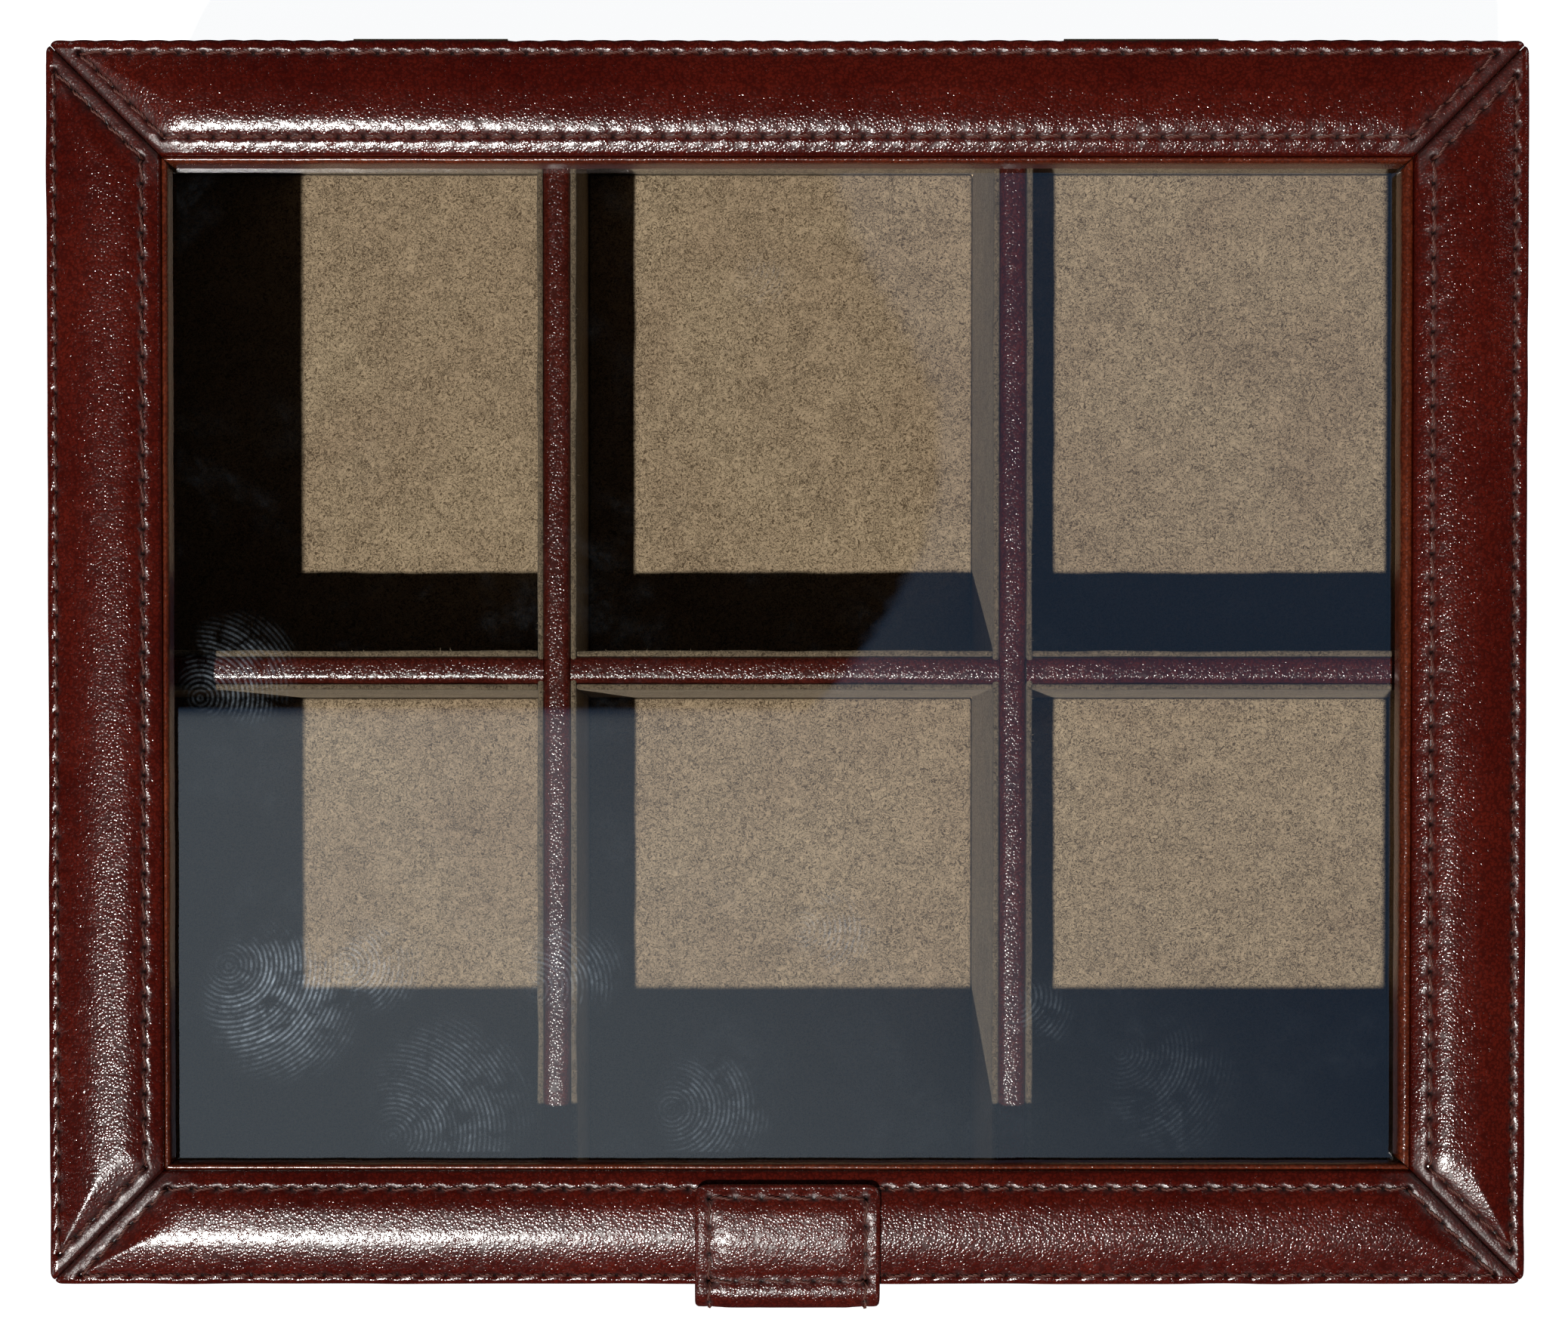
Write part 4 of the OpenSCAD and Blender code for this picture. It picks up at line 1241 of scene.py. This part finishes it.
def tab_piece():
    """The whole strap: a skin with stitches, rounded edges and a flat underside."""
    ends = TAB_EDGE_R * (1 - np.cos(arc(5, 0, 90)))
    half = TAB_W / 2
    u = np.unique(np.concatenate([ends, np.arange(TAB_EDGE_R, TAB_END - TAB_EDGE_R, TAB_STEP),
                                  TAB_END - ends]))[:, None]
    rest = TAB_END - u
    width = half - rounded(u, CORNER_R) - rounded(rest, FLAP_CORNER_R)
    turn = arc(5, 90, 0)[None, :]
    skin = np.linspace(-1, 1, int(TAB_W / TAB_STEP))[None, :]
    x_top = skin * (width - TAB_EDGE_R)
    thick = np.interp(u, TAB_U, TAB_THICK)
    pull = rounded(np.minimum(u, rest), TAB_EDGE_R)
    top = tab_relief(x_top, u + 0 * x_top) - pull
    edge_x = width - TAB_EDGE_R + TAB_EDGE_R * np.cos(turn)
    edge_h = -TAB_EDGE_R + TAB_EDGE_R * np.sin(turn) - pull
    bottom_h = -thick + TAB_EDGE_R - TAB_EDGE_R * np.sin(turn[:, ::-1]) + pull * 0.5
    low_x = skin[:, ::-4] * (width - TAB_EDGE_R)
    low_h = -thick + 0 * low_x + pull * 0.5
    x = np.concatenate([x_top, edge_x, edge_x[:, ::-1], low_x, -edge_x, -edge_x[:, ::-1]], axis=1)
    h = np.concatenate([top, edge_h, bottom_h, low_h, bottom_h[:, ::-1], edge_h[:, ::-1]], axis=1)
    points = tab_points(x, u + 0 * x, h)
    # Painted shade: the tone darkens the strap's stitch grooves and holes.
    dip = np.concatenate([top + pull, 0 * x[:, top.shape[1]:]], axis=1)
    piece = make_mesh("tab_strap", points.reshape(-1, 3), tube_faces(*x.shape), TAB_LEATHER,
                      np.clip(dip * 1.2, -1, 0.02))
    return crisp(outward(piece), 60)


tab = tab_piece()
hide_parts("latch_tab", "latch_flap")
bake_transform(tab)


def tab_surface(a, b):
    return 0 * a - 0.25


tab_thread = stitch_piece("stitches_tab", [(row, tab_surface, tab_points, 980 + i)
                                          for i, row in enumerate(TAB_ROWS)])
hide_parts("lid_stitching", "flap_stitching")
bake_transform(tab_thread)

# ---- Floor, light and camera ----

CAMERA_X, CAMERA_Y = -9.6, -21.0
CAMERA_OVER_LID = 480.0
CAMERA_TILT = -1.0
SENSOR = 36.0
FOCAL = 67.15
SHIFT_X, SHIFT_Y = 0.035, 0.113
CARD_OVER_GLASS = 1100.0
CARD_EDGE_Y = (-8, 0, 9, 20, 32, 45, 57, 67, 82)
CARD_EDGE_X = (4, 11, 17, 23, 25.6, 24.6, 19, 13, 7.6)
CARD_BLUR = 1.2
FLOOR_SIZE, FLOOR_DROP = 20000.0, 0.2
SUN_PLACE, SUN_POWER, SUN_ANGLE = (-0.195, -0.382, 1.0), 6.5, 0.9
SKY_COLOUR, SKY_STRENGTH = (0.62, 0.72, 0.84, 1), 0.04
SOFT_BOXES = {"soft_back_left": (-0.75, 0.95, 0.42), "soft_back_right": (0.95, 0.60, 0.42),
              "soft_front_right": (0.75, -1.0, 0.36), "soft_front_left": (-1.0, -0.55, 0.36)}
SOFT_SIZE = 0.35
SOFT_POWER = 1.6


def stage_floor():
    """A pale floor that glows, so that it shows almost no shadow; leather doesn't mirror it."""
    material, tree = tree_of("pale_floor")
    at = millimetres(tree)
    fleck = noise_field(tree, at, 0.02, 3)
    base = ramp(tree, fleck, [(0.3, (0.15, 0.15, 0.15)), (0.7, (0.17, 0.17, 0.17))])
    close(tree, Base_Color=base, Roughness=0.9, Specular_IOR_Level=0.1,
          Emission_Color=(0.98, 0.99, 1.0, 1), Emission_Strength=0.95)
    points = [(x * FLOOR_SIZE, y * FLOOR_SIZE, 0) for x, y in ((-1, -1), (1, -1), (1, 1), (-1, 1))]
    floor = make_mesh("stage_floor", points, [[0, 1, 2, 3]], material)
    floor.location.z = -FLOOR_DROP * MM
    floor.visible_glossy = False


def reflector():
    """A dim card that only the pane mirrors. Its edge follows the reflection in the photo."""
    grid_x, grid_y = np.meshgrid(np.linspace(-125, 125, 120), np.linspace(-105, 105, 110))
    edge = np.interp(grid_y, CARD_EDGE_Y, CARD_EDGE_X)
    edge = np.where(grid_y < CARD_EDGE_Y[0], -400, edge)
    front = CARD_EDGE_Y[0]
    shown = smooth(-CARD_BLUR, CARD_BLUR, grid_x - edge) * (grid_y > front)
    shown = np.clip(shown + smooth(front + CARD_BLUR, front - CARD_BLUR, grid_y), 0, 1)
    depth = CAMERA_OVER_LID + LID_TOP - GLASS_TOP
    reach = CARD_OVER_GLASS / depth
    x = grid_x + (grid_x - CAMERA_X) * reach
    y = grid_y + (grid_y - CAMERA_Y) * reach
    points = np.stack([x, y, np.full(x.shape, GLASS_TOP + CARD_OVER_GLASS)], axis=-1)
    k = np.arange(x.size).reshape(x.shape)
    faces = np.stack([k[:-1, :-1], k[1:, :-1], k[1:, 1:], k[:-1, 1:]], axis=-1).reshape(-1, 4)
    material, tree = tree_of("reflector")
    glow = smooth(60, -110, grid_x + 0.9 * grid_y)
    card = make_mesh("stage_reflector", points.reshape(-1, 3), faces.tolist(), material,
                     (shown * (0.25 + 0.75 * glow)).ravel())
    tone = tone_of(tree)
    colour = ramp(tree, tone, [(0.0, (0, 0, 0)), (0.25, (0.11, 0.19, 0.33)), (1.0, (0.62, 0.74, 0.86))])
    emit = add(tree, "ShaderNodeEmission")
    tree.links.new(colour, emit.inputs["Color"])
    out = add(tree, "ShaderNodeOutputMaterial")
    tree.links.new(emit.outputs[0], out.inputs["Surface"])
    card.visible_camera = card.visible_diffuse = card.visible_shadow = False
    card.visible_transmission = False
    mirrors = bpy.data.collections.new("mirrors")
    mirrors.objects.link(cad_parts["window_glass"])
    card.light_linking.receiver_collection = mirrors


def aim(thing, at=(0, 0, 0)):
    thing.rotation_euler = (Vector(at) - thing.location).to_track_quat("-Z", "Y").to_euler()


def soft_box(name, place, size, power):
    """A low soft light that shows the grain of the walls. It lights everything but the pane."""
    data = bpy.data.lights.new(name, "AREA")
    data.shape = "SQUARE"
    data.size, data.energy, data.color = size, power, (1.0, 0.97, 0.94)
    lamp = bpy.data.objects.new(name, data)
    lamp.location = place
    bpy.context.scene.collection.objects.link(lamp)
    aim(lamp, (0, 0, HALF_W * MM / 4))
    unlit = bpy.data.collections.new(name + "_leaves_out")
    unlit.objects.link(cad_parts["window_glass"])
    unlit.collection_objects[0].light_linking.link_state = "EXCLUDE"
    lamp.light_linking.receiver_collection = unlit


def lights():
    for name, place in SOFT_BOXES.items():
        soft_box(name, place, SOFT_SIZE, SOFT_POWER)
    sun = bpy.data.lights.new("key", "SUN")
    sun.energy, sun.angle, sun.color = SUN_POWER, math.radians(SUN_ANGLE), (1.0, 0.97, 0.93)
    key = bpy.data.objects.new("key", sun)
    key.location = SUN_PLACE
    bpy.context.scene.collection.objects.link(key)
    aim(key)
    world = bpy.data.worlds.new("studio")
    world.use_nodes = True
    back = world.node_tree.nodes["Background"]
    back.inputs["Color"].default_value = SKY_COLOUR
    back.inputs["Strength"].default_value = SKY_STRENGTH
    bpy.context.scene.world = world


def camera():
    data = bpy.data.cameras.new("camera")
    data.sensor_width, data.lens = SENSOR, FOCAL
    data.shift_x, data.shift_y = SHIFT_X, SHIFT_Y
    view = bpy.data.objects.new("camera", data)
    view.location = (CAMERA_X * MM, CAMERA_Y * MM, (LID_TOP + CAMERA_OVER_LID) * MM)
    view.rotation_euler = (math.radians(CAMERA_TILT), 0, 0)
    bpy.context.scene.collection.objects.link(view)
    bpy.context.scene.camera = view


stage_floor()
reflector()
lights()
camera()
bpy.context.scene.view_settings.view_transform = "Standard"
